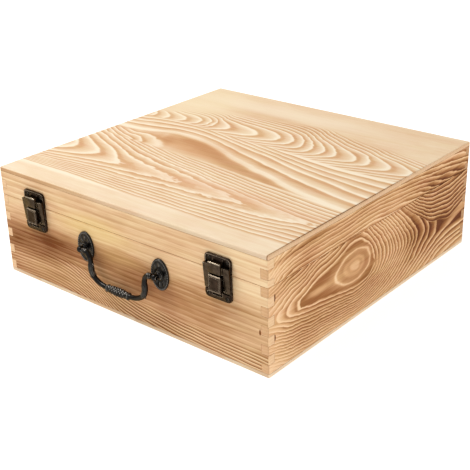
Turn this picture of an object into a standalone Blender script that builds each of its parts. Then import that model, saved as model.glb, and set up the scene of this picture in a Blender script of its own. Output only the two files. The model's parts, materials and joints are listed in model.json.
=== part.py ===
"""A finger-jointed pine keepsake box with a hinged lid, two draw latches and a bail handle.

Metres, +Z up. The origin is the middle of the base, the front faces -Y and +X is to the right.
"""

import math

import bmesh
import bpy
from mathutils import Matrix

# Carcass: a glued frame with a panel on each end, sawn in two along the seam
BOX_WIDTH = 0.355
BOX_DEPTH = 0.355
BOARD = 0.008
PANEL = 0.00425
FINGER = 0.0095
BODY_FINGERS = 9
LID_FINGERS = 3
SAW_KERF = 0.002
ARRIS = 0.0015
SEAM_ARRIS = 0.0004
ARRIS_STEPS = 3

# Clearance between pieces that touch, and how far a cut runs past its piece
GAP = 0.0003
OVERRUN = 0.002

# Round-head screws, one pattern for all the hardware
SCREW_HEAD_RADIUS = 0.0021
SCREW_HEAD_HEIGHT = 0.0011
SCREW_RADIUS = 0.00095
SCREW_LENGTH = 0.0062
SCREW_POINT = 0.0012
SCREW_STEPS = 10

# Butt hinges on the back
HINGE_SPREAD_SHARE = 0.5915
HINGE_LENGTH = 0.038
HINGE_LEAF = 0.016
LEAF_THICKNESS = 0.0012
LEAF_CORNER = 0.0015
KNUCKLE_RADIUS = 0.0023
HINGE_PIN_RADIUS = 0.0011
HINGE_PIN_PROUD = 0.0006
HINGE_SCREW_INSET = 0.007
HINGE_SCREW_RISE = 0.0105

# Draw latches on the front: plates
LATCH_SPREAD_SHARE = 0.6946
LATCH_WIDTH = 0.0305
KEEPER_HEIGHT = 0.0164
BASE_HEIGHT = 0.0271
PLATE_SEAM_GAP = 0.0005
SHEET = 0.0012
PLATE_CORNER = 0.0045
PLATE_SEAM_CORNER = 0.0008
RIM_WIDTH = 0.0014
RIM_RISE = 0.0008
PLATE_EASE = 0.00035
KEEPER_SCREW_SPREAD = 0.0208
KEEPER_SCREW_RISE = 0.0113
BASE_SCREW_SPREAD = 0.0216
BOSS_HEIGHT = 0.0084
BOSS_RISE = 0.0018
BOSS_EASE = 0.0009
SCOOP_WIDTH = 0.011
SCOOP_HEIGHT = 0.0042
LUG_WIDTH = 0.011
LUG_RISE = 0.0014
LUG_TOP = 0.0138
LUG_SHOULDER = 0.0094
LUG_BOTTOM = 0.0074

# Draw latches: lever, claw and their pins
PIVOT_DROP = 0.00375
PIVOT_RISE = 0.0029
LEVER_PIN_RADIUS = 0.0009
EAR_WALL = 0.0006
EAR_THICKNESS = 0.0014
EAR_FOOT = 0.0035
LINK_REACH = 0.0115
CLAW_PIN_RADIUS = 0.00075
LINK_WALL = 0.00045
LEVER_WIDTH = 0.0144
LEVER_HEAD = 0.0022
LEVER_TAIL = 0.0027
LEVER_EASE = 0.0006
PAD_MARGIN = 0.0012
PAD_GROOVE = 0.0009
PAD_SINK = 0.00045
CLAW_WIDTH = 0.0298
CLAW_SLOT_GAP = 0.001
ARM_CLEARANCE = 0.0006
ARM_RISE = 0.0023
ARM_EASE = 0.0011
ARM_TAIL = 0.0025
SHOULDER_TOP = 0.0073
HOOD_GAP = 0.002
HOOD_TOP = 0.0112
HOOD_WIDTH = 0.0144
HOOD_EASE = 0.0007
CLAW_LUG_WIDTH = 0.0016

# Bail handle: oval roses, ball-headed posts and the swinging bail
POST_SPREAD = 0.101
POST_HEIGHT = 0.0645
ROSE_WIDTH = 0.0222
ROSE_HEIGHT = 0.0326
ROSE_EDGE = 0.0008
ROSE_RIM = 0.0021
ROSE_FIELD = 0.0013
ROSE_BOSS = 0.0023
ROSE_RIM_WIDTH = 0.0026
ROSE_BOSS_RADIUS = 0.0062
POST_SHANK_RADIUS = 0.002
POST_COLLAR_RADIUS = 0.0042
POST_COLLAR = 0.0011
POST_NECK_RADIUS = 0.0024
POST_BALL_RADIUS = 0.0035
POST_BALL_OUT = 0.0085
POST_STEPS = 16
POST_SHANK_SPARE = 0.001
WASHER_RADIUS = 0.0046
WASHER_THICKNESS = 0.0008
NUT_RADIUS = 0.004
NUT_HEIGHT = 0.0032
BAIL_PIN_RADIUS = 0.0015
BAIL_PIN_PAST_POST = 0.0024
BAIL_WIRE_RADIUS = 0.0026
BAIL_SPAN_SHARE = 0.73
BAIL_DROP = 0.0315
BAIL_STEP = 0.003
BAIL_PIN_STEP = 0.0008
BAIL_SHEATH_RADIUS = 0.0031
GRIP_LENGTH = 0.034
GRIP_RADIUS = 0.0048
GRIP_STEP = 0.0014
GRIP_BEAD_RADIUS = 0.0042
NIB_LENGTH = 0.0042
NIB_RADIUS = 0.0015
NIB_TIP_RADIUS = 0.0004

# Half of the bail's centre line: shares of half its span across and of its drop down
BAIL_BEND_SHARES = (
    (1.13, 0.02),
    (1.035, 0.13),
    (1.0, 0.3),
    (1.0, 0.5),
    (0.972, 0.675),
    (0.87, 0.835),
    (0.68, 0.948),
    (0.45, 0.992),
)
# Where the leaf sheath starts and ends down the bail's arm, as shares of the drop
SHEATH_TOP_SHARE = 0.36
SHEATH_BOTTOM_SHARE = 0.8

# Derived places
SEAM = PANEL + BODY_FINGERS * FINGER
BOX_HEIGHT = SEAM + LID_FINGERS * FINGER - SAW_KERF + PANEL
FRONT = -BOX_DEPTH / 2
BACK = BOX_DEPTH / 2
HINGE_SPREAD = BOX_WIDTH * HINGE_SPREAD_SHARE
LATCH_SPREAD = BOX_WIDTH * LATCH_SPREAD_SHARE
BAIL_SPAN = POST_SPREAD * BAIL_SPAN_SHARE
PLATE_FACE = GAP + SHEET
RIM_FACE = PLATE_FACE + RIM_RISE
HINGE_AXIS_Y = BACK + GAP + KNUCKLE_RADIUS

PINE_LIGHT = (0.80, 0.58, 0.36, 1.0)
PINE_TAN = (0.62, 0.38, 0.18, 1.0)
BRONZE = (0.045, 0.034, 0.026, 1.0)
STEEL = (0.42, 0.40, 0.37, 1.0)


def clear_scene():
    for obj in list(bpy.data.objects):
        bpy.data.objects.remove(obj, do_unlink=True)


def new_collection(name):
    collection = bpy.data.collections.new(name)
    bpy.context.scene.collection.children.link(collection)
    return collection


def material(name, colour, roughness, metallic):
    made = bpy.data.materials.new(name)
    made.use_nodes = True
    shader = made.node_tree.nodes["Principled BSDF"]
    shader.inputs["Base Color"].default_value = colour
    shader.inputs["Roughness"].default_value = roughness
    shader.inputs["Metallic"].default_value = metallic
    made.diffuse_color = colour
    return made


clear_scene()
PARTS = new_collection("keepsake_box")
CUTTERS = new_collection("cutters")
FINISH = {
    "pine_light": material("pine_light", PINE_LIGHT, 0.55, 0.0),
    "pine_tan": material("pine_tan", PINE_TAN, 0.55, 0.0),
    "bronze": material("bronze", BRONZE, 0.42, 0.9),
    "steel": material("steel", STEEL, 0.35, 0.9),
}


def add_mesh(name, mesh, finish=None, location=(0, 0, 0), rotation=(0, 0, 0)):
    """A part when it has a finish, otherwise a cutter that no render shows."""
    obj = bpy.data.objects.new(name, mesh)
    obj.location = location
    obj.rotation_euler = rotation
    if finish:
        mesh.materials.clear()
        mesh.materials.append(FINISH[finish])
        PARTS.objects.link(obj)
    else:
        CUTTERS.objects.link(obj)
        obj.hide_render = True
        obj.display_type = "WIRE"
    return obj


def mesh_from(bm, name):
    bmesh.ops.recalc_face_normals(bm, faces=bm.faces)
    mesh = bpy.data.meshes.new(name)
    bm.to_mesh(mesh)
    bm.free()
    return mesh


def shade_smooth(obj, angle=math.radians(35)):
    obj.data.shade_smooth()
    obj.data.set_sharp_from_angle(angle=angle)


def block(name, x, y, z, finish=None):
    """A box between the low and high values given for each axis."""
    bm = bmesh.new()
    bmesh.ops.create_cube(bm, size=1)
    size = [high - low for low, high in (x, y, z)]
    bmesh.ops.scale(bm, vec=size, verts=bm.verts)
    centre = [(low + high) / 2 for low, high in (x, y, z)]
    return add_mesh(name, mesh_from(bm, name), finish, centre)


def rod(name, radius, ends, across, axis, finish=None, segments=16):
    """A cylinder along X, Y or Z between two ends, with its axis at the two other coordinates."""
    low, high = ends
    bm = bmesh.new()
    bmesh.ops.create_cone(
        bm, cap_ends=True, segments=segments, radius1=radius, radius2=radius, depth=high - low
    )
    middle = (low + high) / 2
    turn = {"X": (0, math.pi / 2, 0), "Y": (math.pi / 2, 0, 0), "Z": (0, 0, 0)}[axis]
    place = list(across)
    place.insert("XYZ".index(axis), middle)
    obj = add_mesh(name, mesh_from(bm, name), finish, place, turn)
    shade_smooth(obj)
    return obj


def turned(name, profile, steps, finish=None, location=(0, 0, 0), rotation=(0, 0, 0)):
    """A profile of (radius, height) points, top to bottom, revolved about Z."""
    bm = bmesh.new()
    points = [bm.verts.new((radius, 0, height)) for radius, height in profile]
    for start, end in zip(points, points[1:]):
        bm.edges.new((start, end))
    mesh = bpy.data.meshes.new(name)
    bm.to_mesh(mesh)
    bm.free()
    obj = add_mesh(name, mesh, finish, location, rotation)
    spin = obj.modifiers.new("turn", "SCREW")
    spin.steps = steps
    spin.render_steps = steps
    spin.use_merge_vertices = True
    spin.merge_threshold = GAP / 30
    spin.use_smooth_shade = True
    return obj


def outline_solid(name, points, plane, ends, finish=None):
    """A closed flat outline in the XZ or YZ plane, thickened between two ends along the third axis."""
    low, high = ends
    curve = bpy.data.curves.new(name, "CURVE")
    curve.dimensions = "2D"
    curve.fill_mode = "BOTH"
    curve.extrude = (high - low) / 2
    spline = curve.splines.new("POLY")
    spline.points.add(len(points) - 1)
    for target, (across, up) in zip(spline.points, points):
        target.co = (across, up, 0, 1)
    spline.use_cyclic_u = True
    if plane == "XZ":
        place = Matrix.Translation((0, (low + high) / 2, 0)) @ Matrix.Rotation(math.pi / 2, 4, "X")
    else:
        turn = Matrix.Rotation(math.pi / 2, 4, "Z") @ Matrix.Rotation(math.pi / 2, 4, "X")
        place = Matrix.Translation(((low + high) / 2, 0, 0)) @ turn
    guide = bpy.data.objects.new(name + "_outline", curve)
    bpy.context.scene.collection.objects.link(guide)
    guide.matrix_world = place
    bpy.context.view_layer.update()
    return mesh_from_curve(name, guide, place, finish, True)


def mesh_from_curve(name, guide, place, finish, flat_ends=False):
    """The curve's closed mesh. Flat ends become one face each, so that no cut meets a sliver."""
    graph = bpy.context.evaluated_depsgraph_get()
    mesh = bpy.data.meshes.new_from_object(guide.evaluated_get(graph))
    mesh.name = name
    bm = bmesh.new()
    bm.from_mesh(mesh)
    bmesh.ops.remove_doubles(bm, verts=bm.verts, dist=GAP / 30)
    if flat_ends:
        bmesh.ops.dissolve_limit(
            bm, angle_limit=math.radians(0.1), verts=bm.verts[:], edges=bm.edges[:]
        )
    bmesh.ops.recalc_face_normals(bm, faces=bm.faces)
    bm.to_mesh(mesh)
    bm.free()
    bpy.data.objects.remove(guide, do_unlink=True)
    obj = add_mesh(name, mesh, finish)
    obj.matrix_world = place
    return obj


def arc(centre, radius, start, end, steps):
    """Points on an arc, from one angle to another in degrees."""
    angles = [math.radians(start + (end - start) * i / steps) for i in range(steps + 1)]
    return [(centre[0] + radius * math.cos(a), centre[1] + radius * math.sin(a)) for a in angles]


def rounded_rectangle(low, high, radii, steps=4):
    """Outline from the bottom left corner round, with a radius for each corner in that order."""
    corners = (
        (low[0], low[1], 1, 1, 180),
        (high[0], low[1], -1, 1, 270),
        (high[0], high[1], -1, -1, 0),
        (low[0], high[1], 1, -1, 90),
    )
    points = []
    for (x, z, inward, upward, start), radius in zip(corners, radii):
        centre = (x + inward * radius, z + upward * radius)
        points += arc(centre, radius, start, start + 90, steps)
    return points


def boolean(target, tool, operation="DIFFERENCE"):
    modifier = target.modifiers.new(operation.lower() + "_" + tool.name, "BOOLEAN")
    modifier.operation = operation
    modifier.object = tool


def ease_edges(obj, width, segments=1):
    bevel = obj.modifiers.new("ease", "BEVEL")
    bevel.width = width
    bevel.segments = segments
    bevel.limit_method = "ANGLE"
    bevel.angle_limit = math.radians(40)


def axis_empty(name, location, parent=None):
    empty = bpy.data.objects.new(name, None)
    PARTS.objects.link(empty)
    empty.location = location
    if parent:
        carry([empty], parent)
    return empty


def carry(pieces, empty):
    """Parents pieces to a joint's empty and leaves them where they stand."""
    bpy.context.view_layer.update()
    for piece in pieces:
        piece.parent = empty
        piece.matrix_parent_inverse = empty.matrix_world.inverted()


def front_at(proud):
    """The Y of a point that stands this far proud of the front face."""
    return FRONT - proud


def envelope(name, low, high, seam_on_top):
    """A block with its outer edges eased, which trims every board of the body or of the lid."""
    bm = bmesh.new()
    bmesh.ops.create_cube(bm, size=1)
    bmesh.ops.scale(bm, vec=(BOX_WIDTH, BOX_DEPTH, high - low), verts=bm.verts)
    seam = 1 if seam_on_top else -1

    def at_seam(edge):
        return all(vert.co.z * seam > 0 for vert in edge.verts)

    outer = [edge for edge in bm.edges if not at_seam(edge)]
    bmesh.ops.bevel(bm, geom=outer, offset=ARRIS, segments=ARRIS_STEPS, profile=0.5, affect="EDGES")
    seam_z = seam * (high - low) / 2
    rim = [
        edge
        for edge in bm.edges
        if all(abs(vert.co.z - seam_z) < GAP / 30 for vert in edge.verts)
    ]
    bmesh.ops.bevel(bm, geom=rim, offset=SEAM_ARRIS, segments=1, profile=0.5, affect="EDGES")
    return add_mesh(name, mesh_from(bm, name), None, (0, 0, (low + high) / 2))


def finger_lines(first, count):
    """The heights between fingers, counted up the glued frame, with the kerf taken out of the lid."""
    lost = SAW_KERF if first else 0
    return [PANEL + (first + i) * FINGER - lost for i in range(count + 1)]


def finger_board(name, length, first, count, owns_odd, low, high, location, turn):
    """A blank sliced along the finger lines, with its own fingers drawn out at both ends.

    It lies along its own X with its outer face at its origin, facing -Y.
    """
    lines = finger_lines(first, count)
    owners = [(first + i) % 2 == owns_odd for i in range(count)]
    blank = (length - 2 * (BOARD + GAP), BOARD + OVERRUN, high - low)
    bm = bmesh.new()
    bmesh.ops.create_cube(bm, size=1)
    bmesh.ops.scale(bm, vec=blank, verts=bm.verts)
    bmesh.ops.translate(bm, vec=(0, (BOARD - OVERRUN) / 2, (low + high) / 2), verts=bm.verts)
    levels = [low]
    for i in range(1, count):
        levels.append(lines[i] + (GAP / 2 if owners[i] else -GAP / 2))
        whole = bm.verts[:] + bm.edges[:] + bm.faces[:]
        bmesh.ops.bisect_plane(bm, geom=whole, plane_co=(0, 0, levels[i]), plane_no=(0, 0, 1))
    levels.append(high)
    bm.normal_update()
    for bottom, top, owned in zip(levels, levels[1:], owners):
        if not owned:
            continue
        ends = [
            face
            for face in bm.faces
            if abs(face.normal.x) > 0.5 and bottom < face.calc_center_median().z < top
        ]
        for face in bmesh.ops.extrude_discrete_faces(bm, faces=ends)["faces"]:
            reach = math.copysign(BOARD + GAP + OVERRUN, face.calc_center_median().x)
            bmesh.ops.translate(bm, verts=face.verts, vec=(reach, 0, 0))
    return add_mesh(name, mesh_from(bm, name), "pine_tan", location, (0, 0, turn))


def build_frame(prefix, names, first, count, low, high, trim):
    """Four boards with interlocking fingers, trimmed by the envelope to their eased outside."""
    half_x = BOX_WIDTH / 2
    half_y = BOX_DEPTH / 2
    quarter = math.pi / 2
    layout = (
        (BOX_WIDTH, 1, (0, -half_y, 0), 0),
        (BOX_WIDTH, 1, (0, half_y, 0), 2 * quarter),
        (BOX_DEPTH, 0, (-half_x, 0, 0), -quarter),
        (BOX_DEPTH, 0, (half_x, 0, 0), quarter),
    )
    boards = []
    for name, (length, owns_odd, place, turn) in zip(names, layout):
        board = finger_board(prefix + name, length, first, count, owns_odd, low, high, place, turn)
        boolean(board, trim, "INTERSECT")
        boards.append(board)
    return boards


def build_panel(name, low, high, trim):
    reach_x = BOX_WIDTH / 2 + OVERRUN
    reach_y = BOX_DEPTH / 2 + OVERRUN
    panel = block(name, (-reach_x, reach_x), (-reach_y, reach_y), (low, high), "pine_light")
    boolean(panel, trim, "INTERSECT")
    return panel


def screw(name, x, z, seat, side):
    """A round-head screw seated on a plate, on the front (side -1) or the back (side +1)."""
    if "screw" not in bpy.data.meshes:
        profile = [(0, SCREW_HEAD_HEIGHT)]
        profile += arc((0, 0), 1, 60, 0, 2)
        profile[1:] = [(SCREW_HEAD_RADIUS * a, SCREW_HEAD_HEIGHT * b) for a, b in profile[1:]]
        profile += [
            (SCREW_RADIUS, 0),
            (SCREW_RADIUS, SCREW_POINT - SCREW_LENGTH),
            (0, -SCREW_LENGTH),
        ]
        first = turned("screw", profile, SCREW_STEPS, "bronze")
        first.data.name = "screw"
        bpy.data.objects.remove(first, do_unlink=True)
    y = side * (BOX_DEPTH / 2 + seat + GAP)
    obj = add_mesh(name, bpy.data.meshes["screw"], "bronze", (x, y, z), (-side * math.pi / 2, 0, 0))
    spin = obj.modifiers.new("turn", "SCREW")
    spin.steps = SCREW_STEPS
    spin.render_steps = SCREW_STEPS
    spin.use_merge_vertices = True
    spin.merge_threshold = GAP / 30
    spin.use_smooth_shade = True
    return obj


def drill(pieces, name, x, z, side, radius, depth, segments=12):
    """One hole along Y through every piece given, from outside the box to a depth inside its face."""
    outer = side * (BOX_DEPTH / 2 + depth + OVERRUN)
    inner = side * (BOX_DEPTH / 2 - depth)
    cutter = rod(name, radius, sorted((outer, inner)), (x, z), "Y", None, segments)
    for piece in pieces:
        boolean(piece, cutter)


def fasten(name, plate, board, x, z, seat, side):
    """A screw with its clearance hole through the plate and its pilot hole in the board."""
    drill([plate, board], name + "_hole", x, z, side, SCREW_RADIUS + GAP, SCREW_LENGTH)
    return screw(name, x, z, seat, side)


def build_hinge(side, x, back_board, lid_rail):
    """A butt hinge: each leaf carries its knuckles and is cut clear of the other leaf's."""
    third = HINGE_LENGTH / 3
    half = HINGE_LENGTH / 2
    face = (BACK + GAP, BACK + GAP + LEAF_THICKNESS)
    across = (HINGE_AXIS_Y, SEAM)
    spans = {
        "body": [(-half, -third / 2 - GAP / 2), (third / 2 + GAP / 2, half)],
        "lid": [(-third / 2 + GAP / 2, third / 2 - GAP / 2)],
    }
    corner = (LEAF_CORNER, LEAF_CORNER)
    square = (GAP, GAP)
    made = {}
    for part, away in (("body", -1), ("lid", 1)):
        name = side + "_hinge_" + part + "_leaf"
        ends = sorted((SEAM + away * GAP / 2, SEAM + away * HINGE_LEAF))
        radii = corner + square if away < 0 else square + corner
        outline = rounded_rectangle((x - half, ends[0]), (x + half, ends[1]), radii, 3)
        leaf = outline_solid(name, outline, "XZ", face, "bronze")
        other = "lid" if part == "body" else "body"
        for i, (low, high) in enumerate(spans[other]):
            ends_x = (x + low - GAP * 4 / 3, x + high + GAP * 4 / 3)
            tool = rod(name + "_relief_%d" % i, KNUCKLE_RADIUS + GAP, ends_x, across, "X")
            boolean(leaf, tool)
        for i, (low, high) in enumerate(spans[part]):
            tool = rod(
                name + "_knuckle_%d" % i, KNUCKLE_RADIUS, (x + low, x + high), across, "X"
            )
            boolean(leaf, tool, "UNION")
        bore_ends = (x - half - OVERRUN, x + half + OVERRUN)
        bore = rod(name + "_bore", HINGE_PIN_RADIUS + GAP, bore_ends, across, "X")
        boolean(leaf, bore)
        made[part] = leaf
    pin_ends = (x - half - HINGE_PIN_PROUD, x + half + HINGE_PIN_PROUD)
    rod(side + "_hinge_pin", HINGE_PIN_RADIUS, pin_ends, across, "X", "bronze", 12)
    lid_pieces = [made["lid"]]
    seat = GAP + LEAF_THICKNESS
    for i, offset in enumerate((-1, 1)):
        screw_x = x + offset * (half - HINGE_SCREW_INSET)
        name = side + "_hinge_%s_screw_%d"
        low = SEAM - HINGE_SCREW_RISE
        high = SEAM + HINGE_SCREW_RISE
        fasten(name % ("body", i + 1), made["body"], back_board, screw_x, low, seat, 1)
        lid_pieces.append(fasten(name % ("lid", i + 1), made["lid"], lid_rail, screw_x, high, seat, 1))
    return lid_pieces


def rimmed_plate(name, x, low, high, bottom_radius, top_radius, seam_low):
    """A stamped plate with a raised rim on every side but the one at the seam."""
    half = LATCH_WIDTH / 2
    radii = (bottom_radius, bottom_radius, top_radius, top_radius)
    outline = rounded_rectangle((x - half, low), (x + half, high), radii)
    plate = outline_solid(name, outline, "XZ", (front_at(RIM_FACE), front_at(GAP)), "bronze")
    ease_edges(plate, PLATE_EASE)
    inner = half - RIM_WIDTH
    corner = PLATE_CORNER - RIM_WIDTH
    sink_low = low - OVERRUN if seam_low else low + RIM_WIDTH
    sink_high = high - RIM_WIDTH if seam_low else high + OVERRUN
    sink_radii = (corner, corner, corner, corner)
    sink = rounded_rectangle((x - inner, sink_low), (x + inner, sink_high), sink_radii)
    ends = (front_at(RIM_FACE + OVERRUN), front_at(PLATE_FACE))
    boolean(plate, outline_solid(name + "_field", sink, "XZ", ends))
    return plate


def build_keeper(side, x, lid_rail):
    """The lid's plate, with the wedge-shaped lug that the claw reaches over."""
    low = SEAM + PLATE_SEAM_GAP
    high = SEAM + KEEPER_HEIGHT
    name = side + "_latch_keeper"
    plate = rimmed_plate(name, x, low, high, PLATE_SEAM_CORNER, PLATE_CORNER, True)
    proud = PLATE_FACE + LUG_RISE
    wedge = [
        (front_at(PLATE_FACE - SHEET / 2), SEAM + LUG_TOP),
        (front_at(PLATE_FACE), SEAM + LUG_TOP),
        (front_at(proud), SEAM + LUG_SHOULDER),
        (front_at(proud), SEAM + LUG_BOTTOM),
        (front_at(PLATE_FACE - SHEET / 2), SEAM + LUG_BOTTOM),
    ]
    lug = outline_solid(name + "_lug", wedge, "YZ", (x - LUG_WIDTH / 2, x + LUG_WIDTH / 2))
    boolean(plate, lug, "UNION")
    pieces = [plate]
    for i, offset in enumerate((-1, 1)):
        screw_x = x + offset * KEEPER_SCREW_SPREAD / 2
        screw_name = name + "_screw_%d" % (i + 1)
        z = SEAM + KEEPER_SCREW_RISE
        pieces.append(fasten(screw_name, plate, lid_rail, screw_x, z, PLATE_FACE, -1))
    return pieces


def latch_heights():
    """The heights that the base, lever and claw share."""
    pivot = SEAM - PIVOT_DROP
    link = pivot - LINK_REACH
    tail = link - LEVER_TAIL
    return {
        "pivot": pivot,
        "link": link,
        "lever_top": pivot + LEVER_HEAD,
        "lever_bottom": tail,
        "base_bottom": SEAM - BASE_HEIGHT,
        "boss_top": SEAM - BASE_HEIGHT + BOSS_HEIGHT,
    }


def latch_depths():
    """How far proud of the front face the pivots and the outer surfaces stand."""
    ear = LEVER_PIN_RADIUS + GAP + EAR_WALL
    ring = CLAW_PIN_RADIUS + GAP + LINK_WALL
    pivot = PLATE_FACE + PIVOT_RISE
    arm_low = PLATE_FACE + ARM_CLEARANCE + SHEET
    return {
        "ear_radius": ear,
        "ring_radius": ring,
        "pivot": pivot,
        "link": PLATE_FACE + GAP + ring,
        "lever_face": pivot + ear + GAP + SHEET,
        "arm_low": arm_low,
        "arm_high": arm_low + ARM_RISE,
        "wall": RIM_FACE + GAP,
        "lip": PLATE_FACE + LUG_RISE + GAP,
    }


def build_base(side, x, front_board):
    """The body's plate: a raised foot with a finger scoop, and two ears that hold the lever's pin."""
    heights = latch_heights()
    depths = latch_depths()
    name = side + "_latch_base"
    low = heights["base_bottom"]
    high = SEAM - PLATE_SEAM_GAP
    plate = rimmed_plate(name, x, low, high, PLATE_CORNER, PLATE_SEAM_CORNER, False)
    boss_face = PLATE_FACE + BOSS_RISE
    half = LATCH_WIDTH / 2
    inset = half - PLATE_EASE
    corner = PLATE_CORNER - PLATE_EASE
    radii = (corner, corner, PLATE_SEAM_CORNER, PLATE_SEAM_CORNER)
    corners = ((x - inset, low + PLATE_EASE), (x + inset, heights["boss_top"]))
    outline = rounded_rectangle(*corners, radii)
    boss_ends = (front_at(boss_face), front_at(PLATE_FACE - SHEET / 2))
    boss = outline_solid(name + "_boss", outline, "XZ", boss_ends)
    ease_edges(boss, BOSS_EASE, 2)
    boolean(plate, boss, "UNION")
    scoop_x = (x - SCOOP_WIDTH / 2, x + SCOOP_WIDTH / 2)
    scoop_z = (heights["boss_top"] - SCOOP_HEIGHT, heights["boss_top"] + OVERRUN)
    scoop_y = (front_at(boss_face + OVERRUN), front_at(PLATE_FACE + RIM_RISE / 4))
    boolean(plate, block(name + "_scoop", scoop_x, scoop_y, scoop_z))

    pivot = (front_at(depths["pivot"]), heights["pivot"])
    radius = depths["ear_radius"]
    root = front_at(PLATE_FACE - SHEET / 2)
    ear = [(root, pivot[1] + radius)]
    ear += arc(pivot, radius, 90, 270, 8)
    ear += [(root, pivot[1] - EAR_FOOT)]
    ear_outer = LEVER_WIDTH / 2 - SHEET - GAP
    for i, direction in enumerate((-1, 1)):
        ends = sorted((x + direction * ear_outer, x + direction * (ear_outer - EAR_THICKNESS)))
        boolean(plate, outline_solid(name + "_ear_%d" % i, ear, "YZ", ends), "UNION")
    bore_ends = (x - half, x + half)
    bore = rod(name + "_bore", LEVER_PIN_RADIUS + GAP, bore_ends, pivot, "X", None, 12)
    boolean(plate, bore)

    screw_z = (low + heights["boss_top"]) / 2
    for i, direction in enumerate((-1, 1)):
        screw_x = x + direction * BASE_SCREW_SPREAD / 2
        screw_name = name + "_screw_%d" % (i + 1)
        fasten(screw_name, plate, front_board, screw_x, screw_z, boss_face, -1)
    pin_half = LEVER_WIDTH / 2
    rod(side + "_latch_lever_pin", LEVER_PIN_RADIUS, (x - pin_half, x + pin_half), pivot, "X", "bronze", 12)


def build_lever(side, x):
    """The thumb lever: a folded channel that turns on the ears, with a sunk panel on its face."""
    heights = latch_heights()
    depths = latch_depths()
    name = side + "_latch_lever"
    pivot = (front_at(depths["pivot"]), heights["pivot"])
    link = (front_at(depths["link"]), heights["link"])
    face = front_at(depths["lever_face"])
    ear = depths["ear_radius"]
    ring = depths["ring_radius"]
    profile = [(face, heights["lever_top"]), (face, heights["lever_bottom"])]
    profile += [(face + SHEET, heights["lever_bottom"])]
    profile += arc(link, ring, 270, 360, 5)
    profile += arc(pivot, ear, 0, 90, 5)
    profile += [(face + SHEET, heights["lever_top"])]
    half = LEVER_WIDTH / 2
    lever = outline_solid(name, profile, "YZ", (x - half, x + half), "bronze")
    ease_edges(lever, LEVER_EASE)
    inside = half - SHEET
    hollow_y = (face + SHEET, front_at(0))
    hollow_z = (heights["lever_bottom"] - OVERRUN, heights["lever_top"] + OVERRUN)
    boolean(lever, block(name + "_hollow", (x - inside, x + inside), hollow_y, hollow_z))

    sunk = half - PAD_MARGIN
    pad = sunk - PAD_GROOVE
    low = heights["lever_bottom"] + PAD_MARGIN
    high = heights["lever_top"] - PAD_MARGIN
    sunk_y = (face - OVERRUN, face + PAD_SINK)
    boolean(lever, block(name + "_sunk", (x - sunk, x + sunk), sunk_y, (low, high)))
    pad_z = (low + PAD_GROOVE, high - PAD_GROOVE)
    raised = block(name + "_pad", (x - pad, x + pad), (face, face + SHEET / 2), pad_z)
    ease_edges(raised, PAD_SINK / 2)
    boolean(lever, raised, "UNION")

    ends = (x - LATCH_WIDTH / 2, x + LATCH_WIDTH / 2)
    boolean(lever, rod(name + "_pivot_bore", LEVER_PIN_RADIUS + GAP, ends, pivot, "X", None, 12))
    boolean(lever, rod(name + "_link_bore", CLAW_PIN_RADIUS + GAP, ends, link, "X", None, 12))
    return lever, pivot


def build_claw(side, x):
    """The claw: two arms beside the lever, a shoulder across them and a hood with a turned-in lip."""
    heights = latch_heights()
    depths = latch_depths()
    name = side + "_latch_claw"
    link = (front_at(depths["link"]), heights["link"])
    tail = heights["lever_bottom"] + SHEET / 4
    top = SEAM + SHOULDER_TOP
    slope = ARM_RISE / (top - tail)
    low_face = depths["arm_low"]
    high_face = depths["arm_high"]
    wall = depths["wall"]
    half = CLAW_WIDTH / 2
    shell = [
        (front_at(wall), tail + ARM_TAIL),
        (front_at(wall), top),
        (front_at(high_face), top),
        (front_at(low_face), tail),
        (front_at(low_face - SHEET / 2), tail),
    ]
    claw = outline_solid(name, shell, "YZ", (x - half, x + half), "bronze")
    ease_edges(claw, ARM_EASE, 2)
    cut_top = top - SHEET
    cut_high = high_face - SHEET - slope * SHEET
    hollow = [
        (front_at(0), tail - OVERRUN),
        (front_at(0), cut_top),
        (front_at(cut_high), cut_top),
        (front_at(low_face - SHEET - slope * OVERRUN), tail - OVERRUN),
    ]
    inside = half - SHEET
    boolean(claw, outline_solid(name + "_hollow", hollow, "YZ", (x - inside, x + inside)))
    hood_low = heights["lever_top"] + HOOD_GAP
    slot = LEVER_WIDTH / 2 + CLAW_SLOT_GAP
    slot_y = (front_at(high_face + OVERRUN), front_at(0))
    slot_z = (tail - OVERRUN, hood_low)
    boolean(claw, block(name + "_slot", (x - slot, x + slot), slot_y, slot_z))

    face = front_at(depths["lever_face"])
    hood_half = HOOD_WIDTH / 2
    hood_top = SEAM + HOOD_TOP
    hood_y = (face, front_at(depths["lip"]))
    hood = block(name + "_hood", (x - hood_half, x + hood_half), hood_y, (hood_low, hood_top))
    ease_edges(hood, HOOD_EASE, 2)
    boolean(claw, hood, "UNION")
    room = hood_half - SHEET
    room_y = (face + SHEET, front_at(0))
    room_z = (hood_low - OVERRUN, hood_top - SHEET)
    boolean(claw, block(name + "_room", (x - room, x + room), room_y, room_z))

    for i, direction in enumerate((-1, 1)):
        ends = sorted((x + direction * slot, x + direction * (slot + CLAW_LUG_WIDTH)))
        lug = rod(name + "_lug_%d" % i, depths["ring_radius"], ends, link, "X", None, 16)
        boolean(claw, lug, "UNION")
    bore_half = slot + CLAW_LUG_WIDTH + GAP
    bore_ends = (x - bore_half, x + bore_half)
    boolean(claw, rod(name + "_bore", CLAW_PIN_RADIUS + GAP, bore_ends, link, "X", None, 12))
    pin_half = slot + CLAW_LUG_WIDTH
    pin_ends = (x - pin_half, x + pin_half)
    pin = rod(side + "_latch_claw_pin", CLAW_PIN_RADIUS, pin_ends, link, "X", "bronze", 12)
    return claw, pin, link


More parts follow.
